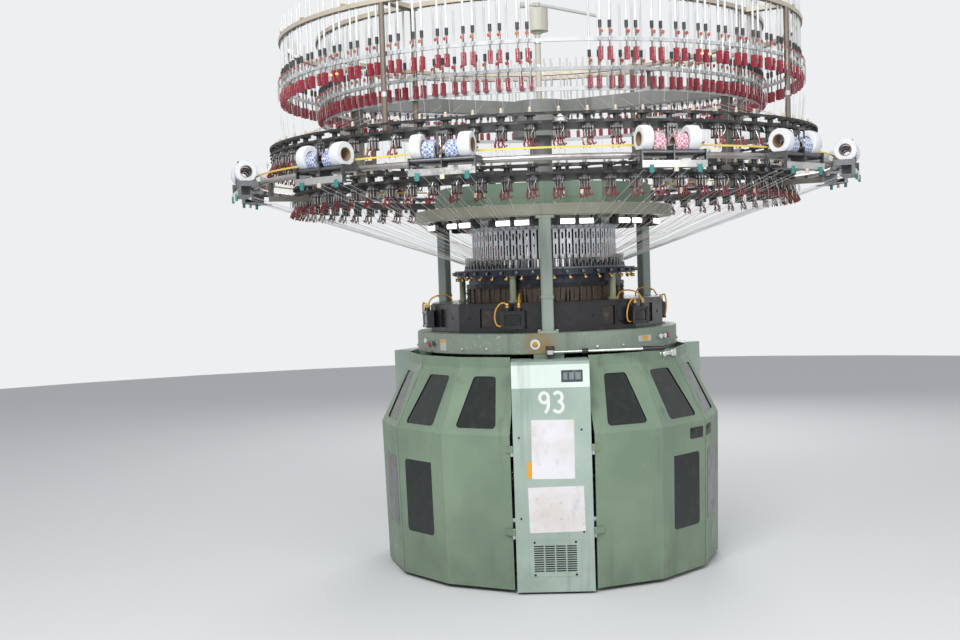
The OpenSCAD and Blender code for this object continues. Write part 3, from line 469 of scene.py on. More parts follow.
COATS = [
    ("column_enamel", (0.27, 0.33, 0.285), (0.35, 0.40, 0.345), 0.4, 0.3, ["columns"]),
    ("post_enamel", (0.30, 0.36, 0.24), (0.40, 0.42, 0.27), 0.3, 0.5, ["support_posts"]),
    ("upper_ring_enamel", (0.235, 0.235, 0.175), (0.30, 0.31, 0.25), 0.5, 0.6, ["upper_ring"]),
    ("beam_enamel", (0.20, 0.205, 0.195), (0.28, 0.285, 0.27), 0.4, 0.25, ["beam_star", "takedown_frame"]),
    ("motor_cream", (0.52, 0.5, 0.43), (0.6, 0.58, 0.5), 0.3, 0.0, ["fan_motor"]),
    ("blower_grey", (0.48, 0.5, 0.47), (0.55, 0.56, 0.53), 0.2, 0.0, ["fan_arm"])]
for name, colour, faded, wear, rust, solids in COATS:
    dress(enamel(name, colour, faded, wear=wear, rust=rust), *solids)
print("castings and beams painted")

# %% [markdown]
# ## Bare metal, plastic and rubber
# Machined steel is worn bright in places, so its colour and roughness follow noise. Plastic
# is plain but never even: a slow change of shade and a dusty film keep it from looking new.

# %% Metals
def metal(name, colour, rough=0.3, stain=(0.09, 0.06, 0.04), stained=0.35, metallic=1.0):
    """Bare metal: uneven roughness, bright wear and brownish stains."""
    f = Finish(name, colour, metallic=metallic, rough=rough)
    f.tint(f.patches(6.0, 6, 0.5, 0.72, 0.0, stained), stain)
    bright = tuple(min(1.0, c * 1.35) for c in colour)
    f.tint(f.patches(60, 4, 0.5, 0.75, 0.0, 0.35), bright)
    f.roughness(f.noise(45, 5), rough - 0.1, rough + 0.18)
    f.bump(f.noise(160, 2), 0.04)
    return f.done()


steel = metal("machined_steel", (0.56, 0.56, 0.55))
dark_steel = metal("oiled_steel", (0.16, 0.165, 0.175), 0.38)
iron = metal("rusty_iron", (0.20, 0.17, 0.14), 0.5, stain=(0.12, 0.05, 0.02), stained=0.7, metallic=0.7)
chrome = metal("chrome", (0.78, 0.78, 0.77), 0.1, stained=0.08)
brass = metal("brass", (0.62, 0.40, 0.12), 0.26, stained=0.2)
pipe_metal = metal("pipe_metal", (0.42, 0.40, 0.39), 0.36, stained=0.5)
dress(steel, "door_hinges", "needle_cylinder", "cloth_bar", "drive_pinion")
dress(iron, "levelling_feet", "main_gear", "drive_motor")
dress(chrome, "hand_lever")
dress(pipe_metal, "pipe_ring")


# %% Plastics and rubber
def plastic(name, colour, rough, dust, coat=0.0, depth=0.03):
    """Moulded plastic or rubber with a thin film of lint and dust."""
    f = Finish(name, colour, rough=rough, coat=coat)
    f.tint(f.patches(5, 4, 0.4, 0.7, 0.0, 0.5), tuple(c * 0.72 for c in colour))
    f.tint(f.patches(26, 7, 0.52, 0.72, 0.0, dust), (0.42, 0.41, 0.38))
    f.roughness(f.noise(14, 4), rough - 0.08, rough + 0.18)
    f.bump(f.noise(120, 3), depth)
    return f.done()


# The black shell finish is black plastic on the actuator casing and boxes, and painted shade where it lies in
# the vent slits.
black_shell_and_slit_shade = plastic("black_shell_and_slit_shade", (0.007, 0.007, 0.010), 0.28, dust=0.03, coat=0.2)
black_plastic = plastic("black_plastic", (0.016, 0.016, 0.018), 0.42, dust=0.2)
white_plastic = plastic("white_plastic", (0.74, 0.75, 0.75), 0.32, dust=0.1)
cream_plastic = plastic("cream_plastic", (0.66, 0.60, 0.46), 0.36, dust=0.15)
red_plastic = plastic("red_plastic", (0.42, 0.02, 0.025), 0.3, dust=0.12, coat=0.3)
window_tint = plastic("tinted_window", (0.006, 0.010, 0.009), 0.12, dust=0.035, depth=0.0)
dress(black_shell_and_slit_shade, "actuator_casing", "actuator_boxes")
dress(black_plastic, "lever_bracket", "button_left_black", "work_lights")
dress(plastic("belt_rubber", (0.02, 0.02, 0.02), 0.62, dust=0.3), "feeder_belts")
roller_rubber = plastic("roller_rubber", (0.045, 0.045, 0.048), 0.6, dust=0.3)
dress(roller_rubber, "takedown_roller_front", "takedown_roller_back")
dress(white_plastic, "button_left_white", "button_right_white_a", "button_right_white_b")
dress(red_plastic, "button_left_red", "button_right_red")
dress(window_tint, *[n for n in nodes if n.startswith("windows_")])
dress(metal("blued_steel", (0.045, 0.05, 0.065), 0.36, stained=0.2), "sinker_plate")
dress(dark_steel, "yarn_finger_ring", "elastane_units")
dress(white_plastic, "yarn_tubes")
print("metals and plastics on", len([n for n in nodes if nodes[n].data.materials]), "nodes")


# %% [markdown]
# ## One solid, several finishes
# Some engineered pieces are one solid whose real counterpart is built from several parts:
# a red stop motion with a black cap, or a brown cam with a black band above it. Their
# colours change at known heights, so a stepped ramp on Z picks them.

# %% Finishes by height
def stepped(f, steps):
    """Colour by height in constant steps; steps are (height, colour) pairs from the bottom up."""
    low, high = steps[0][0], steps[-1][0] + 0.2
    ramp = f.node("ShaderNodeValToRGB")
    ramp.color_ramp.interpolation = "CONSTANT"
    for k, (z, colour) in enumerate(steps):
        spot = (z - low) / (high - low)
        stop = ramp.color_ramp.elements[k] if k < 2 else ramp.color_ramp.elements.new(spot)
        stop.position = spot
        stop.color = (*colour, 1.0)
    f.link(f.between(f.axis("Z"), low, high), ramp.inputs["Fac"])
    return ramp.outputs["Color"]


def by_height(name, steps, rough=0.36, metallic=0.0, outer=None, split=0.0):
    """A stepped finish; outer steps take over beyond the split radius."""
    f = Finish(name, steps[0][1], metallic=metallic, rough=rough)
    f.colour = stepped(f, steps)
    if outer:
        f.tint(f.between(f.reach(), split - 0.001, split + 0.001), stepped(f, outer))
    f.tint(f.patches(22, 6, 0.55, 0.75, 0.0, 0.3), (0.25, 0.24, 0.22))
    f.roughness(f.noise(20, 4), rough - 0.08, rough + 0.18)
    f.bump(f.noise(120, 3), 0.04)
    return f.done()


RED, BLACK, STEEL, RAIL = (0.30, 0.028, 0.048), (0.02, 0.02, 0.025), (0.2, 0.19, 0.18), (0.55, 0.57, 0.58)
CREAM, WEATHERED = (0.56, 0.50, 0.40), (0.17, 0.14, 0.11)
POST, BAR = (0.12, 0.11, 0.09), (0.05, 0.05, 0.05)
CAM_BROWN, BAND_BLACK = (0.085, 0.062, 0.045), (0.012, 0.012, 0.014)
STOP_RAILS = {"outer": 2.557, "inner": 2.462}


def stop_steps(rail):
    """Red body, steel rod, silver rail, steel rod, black cap, from the height of the rail."""
    steps = ((-0.2, RED), (-0.0279, STEEL), (0.0001, RAIL), (0.0171, STEEL), (0.0549, BLACK))
    return [(rail + rise, colour) for rise, colour in steps]


def feeder_steps(foot):
    """Brown foot, black, grey bar, black body, cream top, from the height of the foot's top."""
    steps = ((-0.0555, (0.055, 0.035, 0.032)), (0.0, (0.03, 0.03, 0.034)), (0.005, (0.10, 0.10, 0.11)),
             (0.026, (0.018, 0.018, 0.02)), (0.078, (0.58, 0.53, 0.42)))
    return [(foot + rise, colour) for rise, colour in steps]


dress(by_height("stop_motion_finish", stop_steps(STOP_RAILS["inner"]), split=1.28,
                outer=stop_steps(STOP_RAILS["outer"])), "stop_motions")
dress(by_height("cam_and_band", [(1.40, CAM_BROWN), (1.4708, BAND_BLACK)], 0.4, 0.35), "cam_ring")
stand_steps = [(2.2, WEATHERED), (2.3695, RAIL), (2.3905, WEATHERED), (2.7915, CREAM)]
dress(by_height("weathered_stand_cream_clamps", stand_steps, 0.42, 0.3), "stop_motion_frame")
dress(by_height("posts_and_dark_bars", [(1.9, POST), (2.3, POST)], split=1.262,
                outer=[(1.9, POST), (1.9645, BAR), (2.1, POST), (2.1765, BAR)]), "ring_posts")
plates = Finish("striper_plates_on_black", (0.78, 0.80, 0.84), metallic=0.35, rough=0.3)
reach = plates.reach()
plates.tint(plates.patches(6.0, 6, 0.5, 0.72, 0.0, 0.25), (0.35, 0.35, 0.38))
plates.tint(plates.between(reach, 0.3868, 0.3880, 1.0, 0.0), (0.01, 0.01, 0.012))
outside, inside = plates.between(reach, 0.3913, 0.3917), plates.between(reach, 0.3997, 0.4002, 1.0, 0.0)
plates.tint(plates.times(outside, inside), (0.02, 0.02, 0.022))
plates.roughness(plates.noise(45, 5, (1, 1, 0.12)), 0.18, 0.42)
dress(plates.done(), "striper_ring")
dress(by_height("lower_feeder_finish", feeder_steps(1.9555)), "lower_feeder_ring")
dress(by_height("upper_feeder_finish", feeder_steps(2.1675)), "upper_feeder_ring")
print("stepped finishes done")

# %% [markdown]
# ## Work lamps
# Lit strips shine under the upper ring. Each is a half-round diffuser carried along an arc:
# an angle along the arc and an angle around the half circle give every point. The shader
# gives off its own light, a little more than white.

# %% Work lamps
glow = Finish("lit_diffuser", (0.95, 0.96, 0.93), rough=0.4)
glow.set(Emission_Color=(1.0, 1.0, 0.94, 1.0), Emission_Strength=2.6)


def arc_tube(radius, height, a0, a1, thick, tall, n=8, m=10):
    """An elliptic section carried along an arc of the machine, closed at both ends."""
    t = np.radians(np.linspace(a0, a1, n))[:, None]
    c = circle(m)[None]
    r = radius + thick * c[..., 0]
    return loft(np.stack([r * np.sin(t), -r * np.cos(t), height + tall * c[..., 1] + 0 * t], -1))


spans = [(30 * k + 3 + a, 30 * k + 3 + b) for k in range(12) for a, b in ((4.2, 10.8), (13.2, 19.8))]
tubes = joined([arc_tube(0.6265, 1.801, a, b, 0.006, 0.013) for a, b in spans])
piece("lamp_diffusers", tubes, glow.done())
print("diffusers", len(spans))

# %% [markdown]
# ## Spools of bare elastane
# White elastane sits on rollers as flat wide packages, next to smaller sleeves with a
# checked cover. A package is a profile turned about its own axis: yarn shoulder, slightly
# crowned yarn face, bore; the cardboard core is a tube inside it.

# %% Spools
UNIT_AZ = [-37.6, -15.5, 19.1, 45.2] + [72 + 24 * k for k in range(10)]
UNIT_R, ROLLER_DR, ROLLER_Z, ROLLER_R = 1.605, 0.030, 2.045, 0.010


def seat(radius):
    """Height of a spool's axis when it lies on two rollers."""
    return ROLLER_Z + math.sqrt((radius + ROLLER_R + 0.0003) ** 2 - ROLLER_DR**2)


def package(radius, width, bore, crown=0.0012):
    """A yarn package turned about Z: crowned face between two shoulders, and a bore."""
    w = width / 2
    face = [(radius - 0.004, -w), (radius - 0.001, -w + 0.002), (radius, -w + 0.006), (radius + crown, 0.0),
            (radius, w - 0.006), (radius - 0.001, w - 0.002), (radius - 0.004, w)]
    return closed_turn(face + [(bore + 0.003, w - 0.001), (bore + 0.003, -w + 0.001)])


def on_rollers(part, x, radius):
    """A part turned about Z is laid on its side on the rollers, at the front, its middle at x."""
    v, f = part
    return moved((v[:, [2, 1, 0]] * [1, 1, -1], f), (x, -UNIT_R, seat(radius)))


def core_tube(bore, width):
    """The cardboard tube that the yarn is wound on, a little longer than the package."""
    w = width / 2 + 0.0008
    return closed_turn([(bore, -w), (bore + 0.003, -w), (bore + 0.003, w), (bore, w)], 24)


def yarn_finish(name, colour, second=None, rings=240.0):
    """Wound yarn: fine rings along the axis as bump; a second colour adds a woven check."""
    f = Finish(name, colour, rough=0.72)
    f.set(Sheen_Weight=0.25)
    if second:
        wave = f.node("ShaderNodeTexChecker")
        wave.inputs["Scale"].default_value = 95.0
        f.link(f.where, wave.inputs["Vector"])
        f.tint(wave.outputs["Fac"], second)
    f.tint(f.patches(30, 4, 0.5, 0.75, 0.0, 0.3), tuple(c * 0.75 for c in colour))
    f.bump(f.noise(rings, 2, (1, 1, 0.15)), 0.2, 0.0006)
    return f.done()


white_yarn = yarn_finish("white_elastane", (0.72, 0.74, 0.76))
blue_check = yarn_finish("blue_white_check", (0.62, 0.66, 0.74), (0.14, 0.20, 0.45))
pink_check = yarn_finish("pink_white_check", (0.74, 0.62, 0.64), (0.55, 0.16, 0.24))
BIG_R, BIG_BORE, BIG = 0.056, 0.028, [(-0.118, 0.048), (0.1005, 0.053)]  # middle and width of each
SMALL_R, SMALL_BORE, SMALL = 0.042, 0.022, [(-0.062, 0.056), (0.042, 0.056)]
big = joined([on_rollers(package(BIG_R, w, BIG_BORE), x, BIG_R) for x, w in BIG])
small = joined([on_rollers(package(SMALL_R, w, SMALL_BORE), x, SMALL_R) for x, w in SMALL])
cores = joined([on_rollers(core_tube(BIG_BORE, w), x, BIG_R) for x, w in BIG]
               + [on_rollers(core_tube(SMALL_BORE, w), x, SMALL_R) for x, w in SMALL])
cardboard = plastic("cardboard_core", (0.30, 0.20, 0.12), 0.7, dust=0.2)
spools = piece("elastane_packages", around(big, UNIT_AZ), white_yarn)
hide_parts("elastane_spools")
piece("spool_cores", around(cores, UNIT_AZ), cardboard)
pink = [19.1, 96, 144, 216, 264]  # units that carry pink sleeves
piece("blue_sleeves", around(small, [a for a in UNIT_AZ if a not in pink]), blue_check)
piece("pink_sleeves", around(small, pink), pink_check)
print("packages", 4 * len(UNIT_AZ))

# %% [markdown]
# ## Roller units: trays, clips and knobs
# A bright tray edge closes the front of each unit. Two teal clips and a cream block sit
# under it. Rounded blocks are one outline drawn in at both ends.

# %% Unit trims
teal = plastic("teal_clip", (0.03, 0.22, 0.20), 0.4, dust=0.1)
tray = moved(pillow(0.302, 0.0024, 0.030, 0.001, 0.0006), (0, -1.6545, 1.9795))
piece("tray_fronts", around(tray, UNIT_AZ), steel)
clip = pillow(0.020, 0.012, 0.034, 0.003, 0.001)
clips = copies(clip, [(x, -1.6555, 1.9575) for x in (-0.109, 0.114)])
piece("pipe_clips", around(clips, UNIT_AZ), teal)
block = moved(pillow(0.020, 0.012, 0.020, 0.003, 0.001), (0.004, -1.6555, 1.9615))
piece("unit_blocks", around(block, UNIT_AZ), cream_plastic)
print("units trimmed", len(UNIT_AZ))

# %% [markdown]
# ## The yellow drive tape
# A yellow tape runs around the pipe ring and turns the unit rollers. It is a thin upright
# ring: radius in and out, height up and down, four points per azimuth.

# %% Drive tape
TAPE_IN, TAPE_OUT, TAPE_LOW, TAPE_HIGH = 1.5440, 1.5448, 2.0790, 2.0875
AROUND = 180
section = [(TAPE_IN, TAPE_LOW), (TAPE_OUT, TAPE_LOW), (TAPE_OUT, TAPE_HIGH), (TAPE_IN, TAPE_HIGH)]
yellow = plastic("yellow_tape", (0.72, 0.58, 0.10), 0.45, dust=0.15)
piece("drive_tape", closed_turn(section, AROUND), yellow)
print("tape", len(section) * AROUND, "points")

# %% [markdown]
# ## Feeders
# A positive feeder stores a few turns of yarn on a wheel of pins and passes it down. The
# wheel, its pins, the bent wire eyes, a red hook and a pale green tag are small, so each
# gets a few dozen faces and is copied to every position.

# %% Feeder details
FEEDERS = 72
FEED = (np.arange(FEEDERS) + 0.5) * 360 / FEEDERS
dark_red = plastic("dark_red_hook", (0.22, 0.022, 0.03), 0.34, dust=0.12)
brown_metal = metal("brown_guide", (0.16, 0.10, 0.075), 0.5, stained=0.4, metallic=0.5)
pale_green = plastic("pale_green_tag", (0.42, 0.60, 0.44), 0.5, dust=0.1)
WHEEL_R, EVERY = 0.0232, slice(None)
pin = turned([(0.0014, 0), (0.0014, 0.046)], 5)
pin_angles = np.linspace(0, 2 * math.pi, 10, endpoint=False)
pins = copies(pin, [(WHEEL_R * math.cos(t), WHEEL_R * math.sin(t), -0.038) for t in pin_angles])
rim = turned([(0.0, -0.0025), (0.026, -0.0025), (0.0275, 0.0), (0.026, 0.0025), (0.0, 0.0025)], 14)
rims = copies(rim, [(0, 0, h) for h in (-0.041, -0.0035)])
eye = [(0.014, -0.012, 0.018), (0.016, -0.036, 0.012), (0.014, -0.046, -0.008), (0.006, -0.047, -0.02),
       (0.0, -0.044, -0.032)]
wire = [(-0.014, 0.01, 0.016), (-0.018, -0.02, -0.004), (-0.016, -0.034, -0.04), (-0.010, -0.036, -0.075)]
hook = swept([(-0.004, -0.028, -0.040), (-0.010, -0.038, -0.060), (-0.002, -0.046, -0.078),
              (0.008, -0.040, -0.070)], 0.0042, 6)
hooks = copies(hook, [(0, 0, 0), (0.020, 0.006, 0.004), (-0.018, 0.010, -0.006)])
guides = copies(pillow(0.004, 0.004, 0.058, 0.001, 0.0004), [(x, -0.018, -0.088) for x in (-0.024, 0.004)])
tag = moved(pillow(0.013, 0.0016, 0.026, 0.003, 0.0004), (0.016, -0.030, -0.078))
cream_tag = moved(pillow(0.015, 0.006, 0.020, 0.003, 0.0006), (-0.020, -0.034, -0.066))
knob = turned([(0.005, 0.083), (0.006, 0.085), (0.006, 0.095), (0.004, 0.098), (0.0, 0.099)], 10)
# name, part about the middle of the feeder's bar, which feeders carry it, finish, slot
FEEDER_TRIM = [
    ("pins", pins, EVERY, steel, "steel"),
    ("wheel_rims", rims, EVERY, black_plastic, "black_plastic"),
    ("wires", joined([swept(eye, 0.0012, 5), swept(wire, 0.0013, 5)]), EVERY, steel, "steel"),
    ("hooks", hooks, EVERY, dark_red, "red_plastic"),
    ("guides", guides, EVERY, brown_metal, "iron"),
    ("tags", tag, slice(0, None, 3), pale_green, "tube"),
    ("cream_tags", cream_tag, slice(1, None, 4), cream_plastic, "cream_paint"),
    ("knobs", knob, EVERY, cream_plastic, "cream_paint")]
for ring, radius, bar_z in (("lower_feeder", 1.318, 1.960), ("upper_feeder", 1.432, 2.172)):
    for name, part, which, material, slot in FEEDER_TRIM:
        piece(f"{ring}_{name}", around(moved(part, (0, -radius, bar_z)), FEED[which]), material)
print("feeders trimmed", 2 * FEEDERS)

# %% [markdown]
# ## Knobs, screws and bright strips of the head
# Rows of small turned parts make the head look rich: brass knobs under the plate, screws
# with a slot across the cam blocks, and bright guide strips between the yarn fingers.

# %% Head details
def screw(r, h):
    """A cheese head: a short turned cylinder with a chamfered rim and a recess."""
    return turned([(r, 0.0), (r, h * 0.75), (r * 0.85, h), (r * 0.25, h), (r * 0.2, h * 0.7)], 10)


TENS = np.arange(36) * 10.0
knob_profile = [(0.0055, 0.0), (0.0055, 0.003), (0.0085, 0.004), (0.0085, 0.013), (0.006, 0.015),
                (0.0, 0.0155)]
knob_and_stem = joined([facing(turned(knob_profile, 12), 0.474, 1.519),
                        moved(turned([(0.004, 0.0), (0.004, 0.018)], 8), (0, -0.474, 1.5185))])
piece("plate_knobs", around(knob_and_stem, TENS + 5), brass)
edge_profile = [(0.006, 0.0), (0.006, 0.006), (0.009, 0.007), (0.009, 0.013), (0.005, 0.015)]
edge_screw = facing(turned(edge_profile, 12), 0.4905, 1.5505)
piece("edge_screws", around(edge_screw, TENS + 2.5), dark_steel)
rim_screw = facing(screw(0.0045, 0.004), 0.4268, 1.417)
rows = copies(rim_screw, [(0, 0, z) for z in (0.0, 0.022, 0.042)])
piece("cam_screws", around(rows, TENS + 5), iron)
strip = moved(pillow(0.0022, 0.014, 0.060, 0.0008, 0.0004), (0, -0.4265, 1.5755))
GUIDES, BOSSES = 72, 66
piece("guide_strips", around(strip, np.arange(GUIDES) * 360 / GUIDES + 3.5), steel)
boss_screw = facing(screw(0.0065, 0.004), 0.4055, 1.790)
piece("boss_screws", around(boss_screw, np.arange(BOSSES) * 360 / BOSSES), steel)
print("head details", 5 * len(TENS) + GUIDES + BOSSES)

# %% [markdown]
# ## Actuator boxes and their cables
# Brass cable glands stand on the black boxes, and orange cables loop from them to the
# casing. The cables are engineered solids, so they only get their colour here. Brown panes
# sit in the casing's sides, and plain plates close the sides of the top housing.

# %% Boxes and cables
dress(plastic("orange_cable", (0.72, 0.38, 0.03), 0.42, dust=0.15), "signal_cables")
BOX_AZ = [60 * k - 15 for k in range(6)]
gland = turned([(0.0085, 0.0), (0.0105, 0.001), (0.0105, 0.011), (0.008, 0.013), (0.008, 0.021),
                (0.006, 0.024)], 12)
glands = copies(gland, [(x, -0.66, 1.3782) for x in (-0.03, 0.03)])
piece("cable_glands", around(glands, BOX_AZ), brass)
lid = moved(pillow(0.076, 0.004, 0.048, 0.003, 0.001), (0, -0.6705, 1.293))
piece("box_windows", around(lid, BOX_AZ), window_tint)
box_screw = facing(screw(0.004, 0.003), 0.6742, 1.262)
four = copies(box_screw, [(x, 0, z) for x in (-0.054, 0.054) for z in (0.016, 0.088)])
piece("box_screws", around(four, BOX_AZ), black_plastic)
pane = facing(pillow(0.073, 0.093, 0.003, 0.003, 0.0008), 0.6065, 1.324)
brown_tint = plastic("brown_tinted_pane", (0.030, 0.022, 0.018), 0.14, dust=0.12, depth=0.0)
piece("casing_panes", around(pane, [30 * k for k in range(12) if k % 4]), brown_tint)
panel_plate = facing(pillow(0.168, 0.047, 0.0015, 0.003, 0.0005), 0.5701, 1.950)
piece("housing_panels", around(panel_plate, [30 * k + 15 for k in range(12)]), casting_green)
print("boxes", len(BOX_AZ))

# %% [markdown]
# ## Stop motions: discs and lamps
# Between the black cap and the red body a thin arm carries a tension disc, orange or red,
# so that tired yarns can be told apart. A few signal lamps are lit where a yarn has broken.

# %% Stop-motion discs
PAIRS = np.arange(2, 72)
HALF_PAIR = 0.0215


def on_pairs(part, radius, which):
    """Copies of a part, made at the front, over both stop motions of the chosen pairs."""
    spread = math.degrees(HALF_PAIR / radius)
    return around(part, [(k + 0.3) * 5 + s * spread for k in which for s in (-1, 1)])


dish = turned([(0.002, 0.0), (0.0075, 0.001), (0.009, 0.002), (0.009, 0.004), (0.005, 0.006),
               (0.0, 0.0065)], 12)
bent = swept([(0.0035, -0.003, -0.008), (0.006, -0.014, 0.0), (0.004, -0.024, 0.002), (-0.002, -0.026, -0.03),
              (0.0, -0.024, -0.10)], 0.0012, 5)
orange_disc = plastic("orange_disc", (0.42, 0.10, 0.04), 0.4, dust=0.2)
red_ones = [k for k in PAIRS if (k * 7) % 5 < 2]
orange_ones = [k for k in PAIRS if k not in red_ones]
for row, radius in (("outer", 1.38), ("inner", 1.185)):
    rail = STOP_RAILS[row]
    disc_and_screw = joined([facing(dish, radius + 0.017, rail + 0.036),
                             facing(screw(0.006, 0.006), radius + 0.0152, rail - 0.045)])
    piece(row + "_orange_discs", on_pairs(disc_and_screw, radius, orange_ones), orange_disc)
    piece(row + "_red_discs", on_pairs(disc_and_screw, radius, red_ones), red_plastic)
    arm = moved(bent, (0, -radius, rail + 0.030))
    piece(row + "_arms", on_pairs(arm, radius, PAIRS), steel)
signal = Finish("lit_signal", (1.0, 0.5, 0.25), rough=0.3)
signal.set(Emission_Color=(1.0, 0.35, 0.12, 1.0), Emission_Strength=1.5)
bulb = facing(turned([(0.0055, 0.0), (0.006, 0.004), (0.0045, 0.010), (0.0, 0.012)], 10), 1.4, 2.506)
piece("broken_yarn_lamps", on_pairs(bulb, 1.38, [6, 27, 51, 63]), signal.done())
print("discs", 4 * len(PAIRS))

# %% [markdown]
# ## The front leg cover
# This is the face that workers see most: a worn pale strip along the top, a dark plate with
# three faded fields, a painted position number, an orange tag, a vent plate and two sheets of
# paper. The papers are left blank. Digits are flat strokes: a path on the panel with a width.

# %% Front cover details
COVER_Y = -0.897
LEGS = [0, 120, 240]


def stroke(path, width, thick):
    """A flat painted stroke: the path offset both ways by half the width, lifted off the panel."""
    p = np.asarray(path, float)
    tangent = np.gradient(p, axis=0)
    tangent /= np.linalg.norm(tangent, axis=1)[:, None]
    side = np.stack([-tangent[:, 1], tangent[:, 0]], -1) * width / 2
    section = ((p + side, 0.0), (p + side, thick), (p - side, thick), (p - side, 0.0))
    return loft(np.stack([np.insert(q, 1, COVER_Y - lift, axis=1) for q, lift in section], 1))


def arc(cx, cz, rx, rz, a0, a1, n=18):
    """Points along an ellipse, in degrees from +X towards +Z."""
    t = np.radians(np.linspace(a0, a1, n))
    return np.stack([cx + rx * np.cos(t), cz + rz * np.sin(t)], -1)


def panel(x0, x1, z0, z1, thick, r=0.004, turn=0.0):
    """A thin rounded sheet on the cover, between two corners, a little out of true."""
    laid = moved(pillow(x1 - x0, z1 - z0, thick, r, thick * 0.3), tip=90)
    return moved(laid, ((x0 + x1) / 2, COVER_Y, (z0 + z1) / 2), roll=turn)


DIGIT_Z, STROKE_W, STROKE_THICK = 0.930, 0.0155, (0.0003, 0.0006)
nine = [arc(-0.033, DIGIT_Z + 0.022, 0.0205, 0.024, 0, 360, 28),
        arc(-0.036, DIGIT_Z - 0.004, 0.0235, 0.046, 28, -78, 16)]
three = [arc(0.033, DIGIT_Z + 0.024, 0.0205, 0.023, 150, -90),
         arc(0.033, DIGIT_Z - 0.023, 0.0235, 0.025, 90, -150)]
stencil = plastic("stencilled_white_paint", (0.74, 0.78, 0.74), 0.5, dust=0.3)
strokes = [stroke(path, STROKE_W, thick) for path, thick in zip(nine + three, STROKE_THICK * 2)]
piece("position_number", joined(strokes), stencil)
bare = plastic("dark_blue_plate", (0.055, 0.065, 0.10), 0.3, dust=0.3)
piece("sign_plate", panel(0.052, 0.155, 1.024, 1.082, 0.0014, 0.003), bare)
field_grey = plastic("faded_field", (0.20, 0.24, 0.22), 0.4, dust=0.3)
FIELDS = ((0.062, 0.082), (0.090, 0.113), (0.119, 0.146))
fields = [panel(x0, x1, 1.036, 1.071, 0.0018, 0.002) for x0, x1 in FIELDS]
piece("sign_fields", joined(fields), field_grey)


def paper_finish(name, colour):
    """Old paper: yellowed patches, grease and a soft sheen."""
    f = Finish(name, colour, rough=0.5)
    yellowed = tuple(c * k for c, k in zip(colour, (0.8, 0.76, 0.66)))
    f.tint(f.patches(5, 5, 0.42, 0.66, 0.0, 0.8), yellowed)
    f.tint(f.patches(17, 6, 0.58, 0.75, 0.0, 0.3, (1, 1, 0.4)), (0.30, 0.31, 0.31))
    f.tint(f.patches(40, 7, 0.62, 0.72, 0.0, 0.35), (0.16, 0.17, 0.18))
    f.roughness(f.noise(9, 4), 0.35, 0.6)
    f.bump(f.noise(12, 5), 0.25, 0.002)
    return f.done()


paper = paper_finish("taped_paper", (0.74, 0.73, 0.77))
grey_sheet = paper_finish("greyed_paper", (0.70, 0.68, 0.69))
piece("upper_paper", panel(-0.100, 0.106, 0.560, 0.845, 0.0006, turn=0.6), paper)
piece("lower_paper", panel(-0.121, 0.147, 0.302, 0.522, 0.0006, turn=-0.8), grey_sheet)
tag_orange = plastic("orange_tag", (0.72, 0.33, 0.02), 0.4, dust=0.12)
piece("orange_tag", panel(-0.124, -0.102, 0.566, 0.645, 0.0008, 0.002, turn=2), tag_orange)
VENT_Z, SLIT_DX, SLIT_DZ = 0.175, 0.053, 0.0109
vent_screw = facing(screw(0.0055, 0.003), 0.899, VENT_Z)
vent_screws = copies(vent_screw, [(x, 0, z) for z in (-0.079, 0.079) for x in (-0.099, 0.099)])
piece("vent_screws", around(vent_screws, LEGS), black_plastic)
vent_plate = facing(pillow(0.252, 0.176, 0.0020, 0.004, 0.0006), 0.8970, VENT_Z)
vent = piece("vent_plates", around(vent_plate, LEGS), cover_green)
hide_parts("vent_grille")
# The vent slits are flat black strips laid on the plate, not cut through it: painted shade for the dark
# openings of the vent.
slit = facing(pillow(0.048, 0.0064, 0.0005, 0.003, 0.0001), 0.8989, VENT_Z)
grid = [(SLIT_DX * (col - 1.5), 0, SLIT_DZ * (row - 5.5)) for row in range(12) for col in range(4)]
piece("vent_slit_shade", around(copies(slit, grid), LEGS), black_shell_and_slit_shade)
COVER_DOTS = [(-0.159, 0.762), (-0.159, 0.371), (0.142, 0.795), (0.140, 0.302)]
cover_bolts = copies(facing(screw(0.005, 0.003), 0.897, 0.0), [(x, 0, z) for x, z in COVER_DOTS])
piece("cover_bolts", around(cover_bolts, LEGS), black_plastic)
strip_finish = enamel("worn_pale_strip", (0.66, 0.76, 0.70), (0.76, 0.84, 0.79), wear=0.4, rough=0.34)
piece("pale_strip", panel(-0.1875, 0.1875, 0.999, 1.110, 0.0008, 0.002), strip_finish)
print("front cover dressed")

# %% [markdown]
# ## Doors: window frames, pulls and the latch
# A door is a sheet folded along three upright and two level lines. A piece on it is placed
# by the azimuth of the panel's middle, the lean of the sheet, and the distances along and up
# the sheet. Thin plates bring the windows to their seen outlines, and four doors open by a
# black recessed pull, high up near the free edge.

# %% Door details
DOOR_A0, FOLD = 12.9, (60 - 12.9) / 2
KINK_Z, DOOR_R, DOOR_Z0, FOOT_R, LIP_Z, LIP_R, LIP_TOP = 0.770, 0.915, 0.020, 0.898, 1.086, 0.756, 1.138
# height and corner radius at the lower and upper edge of each level of panels
LOWER, SLOPE = (DOOR_Z0, FOOT_R, KINK_Z, DOOR_R), (KINK_Z, DOOR_R, LIP_Z, LIP_R)
LIP = (LIP_Z, LIP_R, LIP_TOP, LIP_R)
DOORS = {"door_front_right": (0, 1), "door_front_left": (0, -1), "door_rear_right_a": (120, -1),
         "door_rear_right_b": (120, 1), "door_rear_left_a": (240, -1), "door_rear_left_b": (240, 1)}
WITH_PULL = ("door_front_right", "door_rear_right_a", "door_rear_right_b", "door_rear_left_a")
SHRINK, HALF = math.cos(math.radians(FOLD / 2)), math.sin(math.radians(FOLD / 2))
LOW_H = math.hypot(KINK_Z - DOOR_Z0, (DOOR_R - FOOT_R) * SHRINK)
SLOPE_H = math.hypot(LIP_Z - KINK_Z, (DOOR_R - LIP_R) * SHRINK)


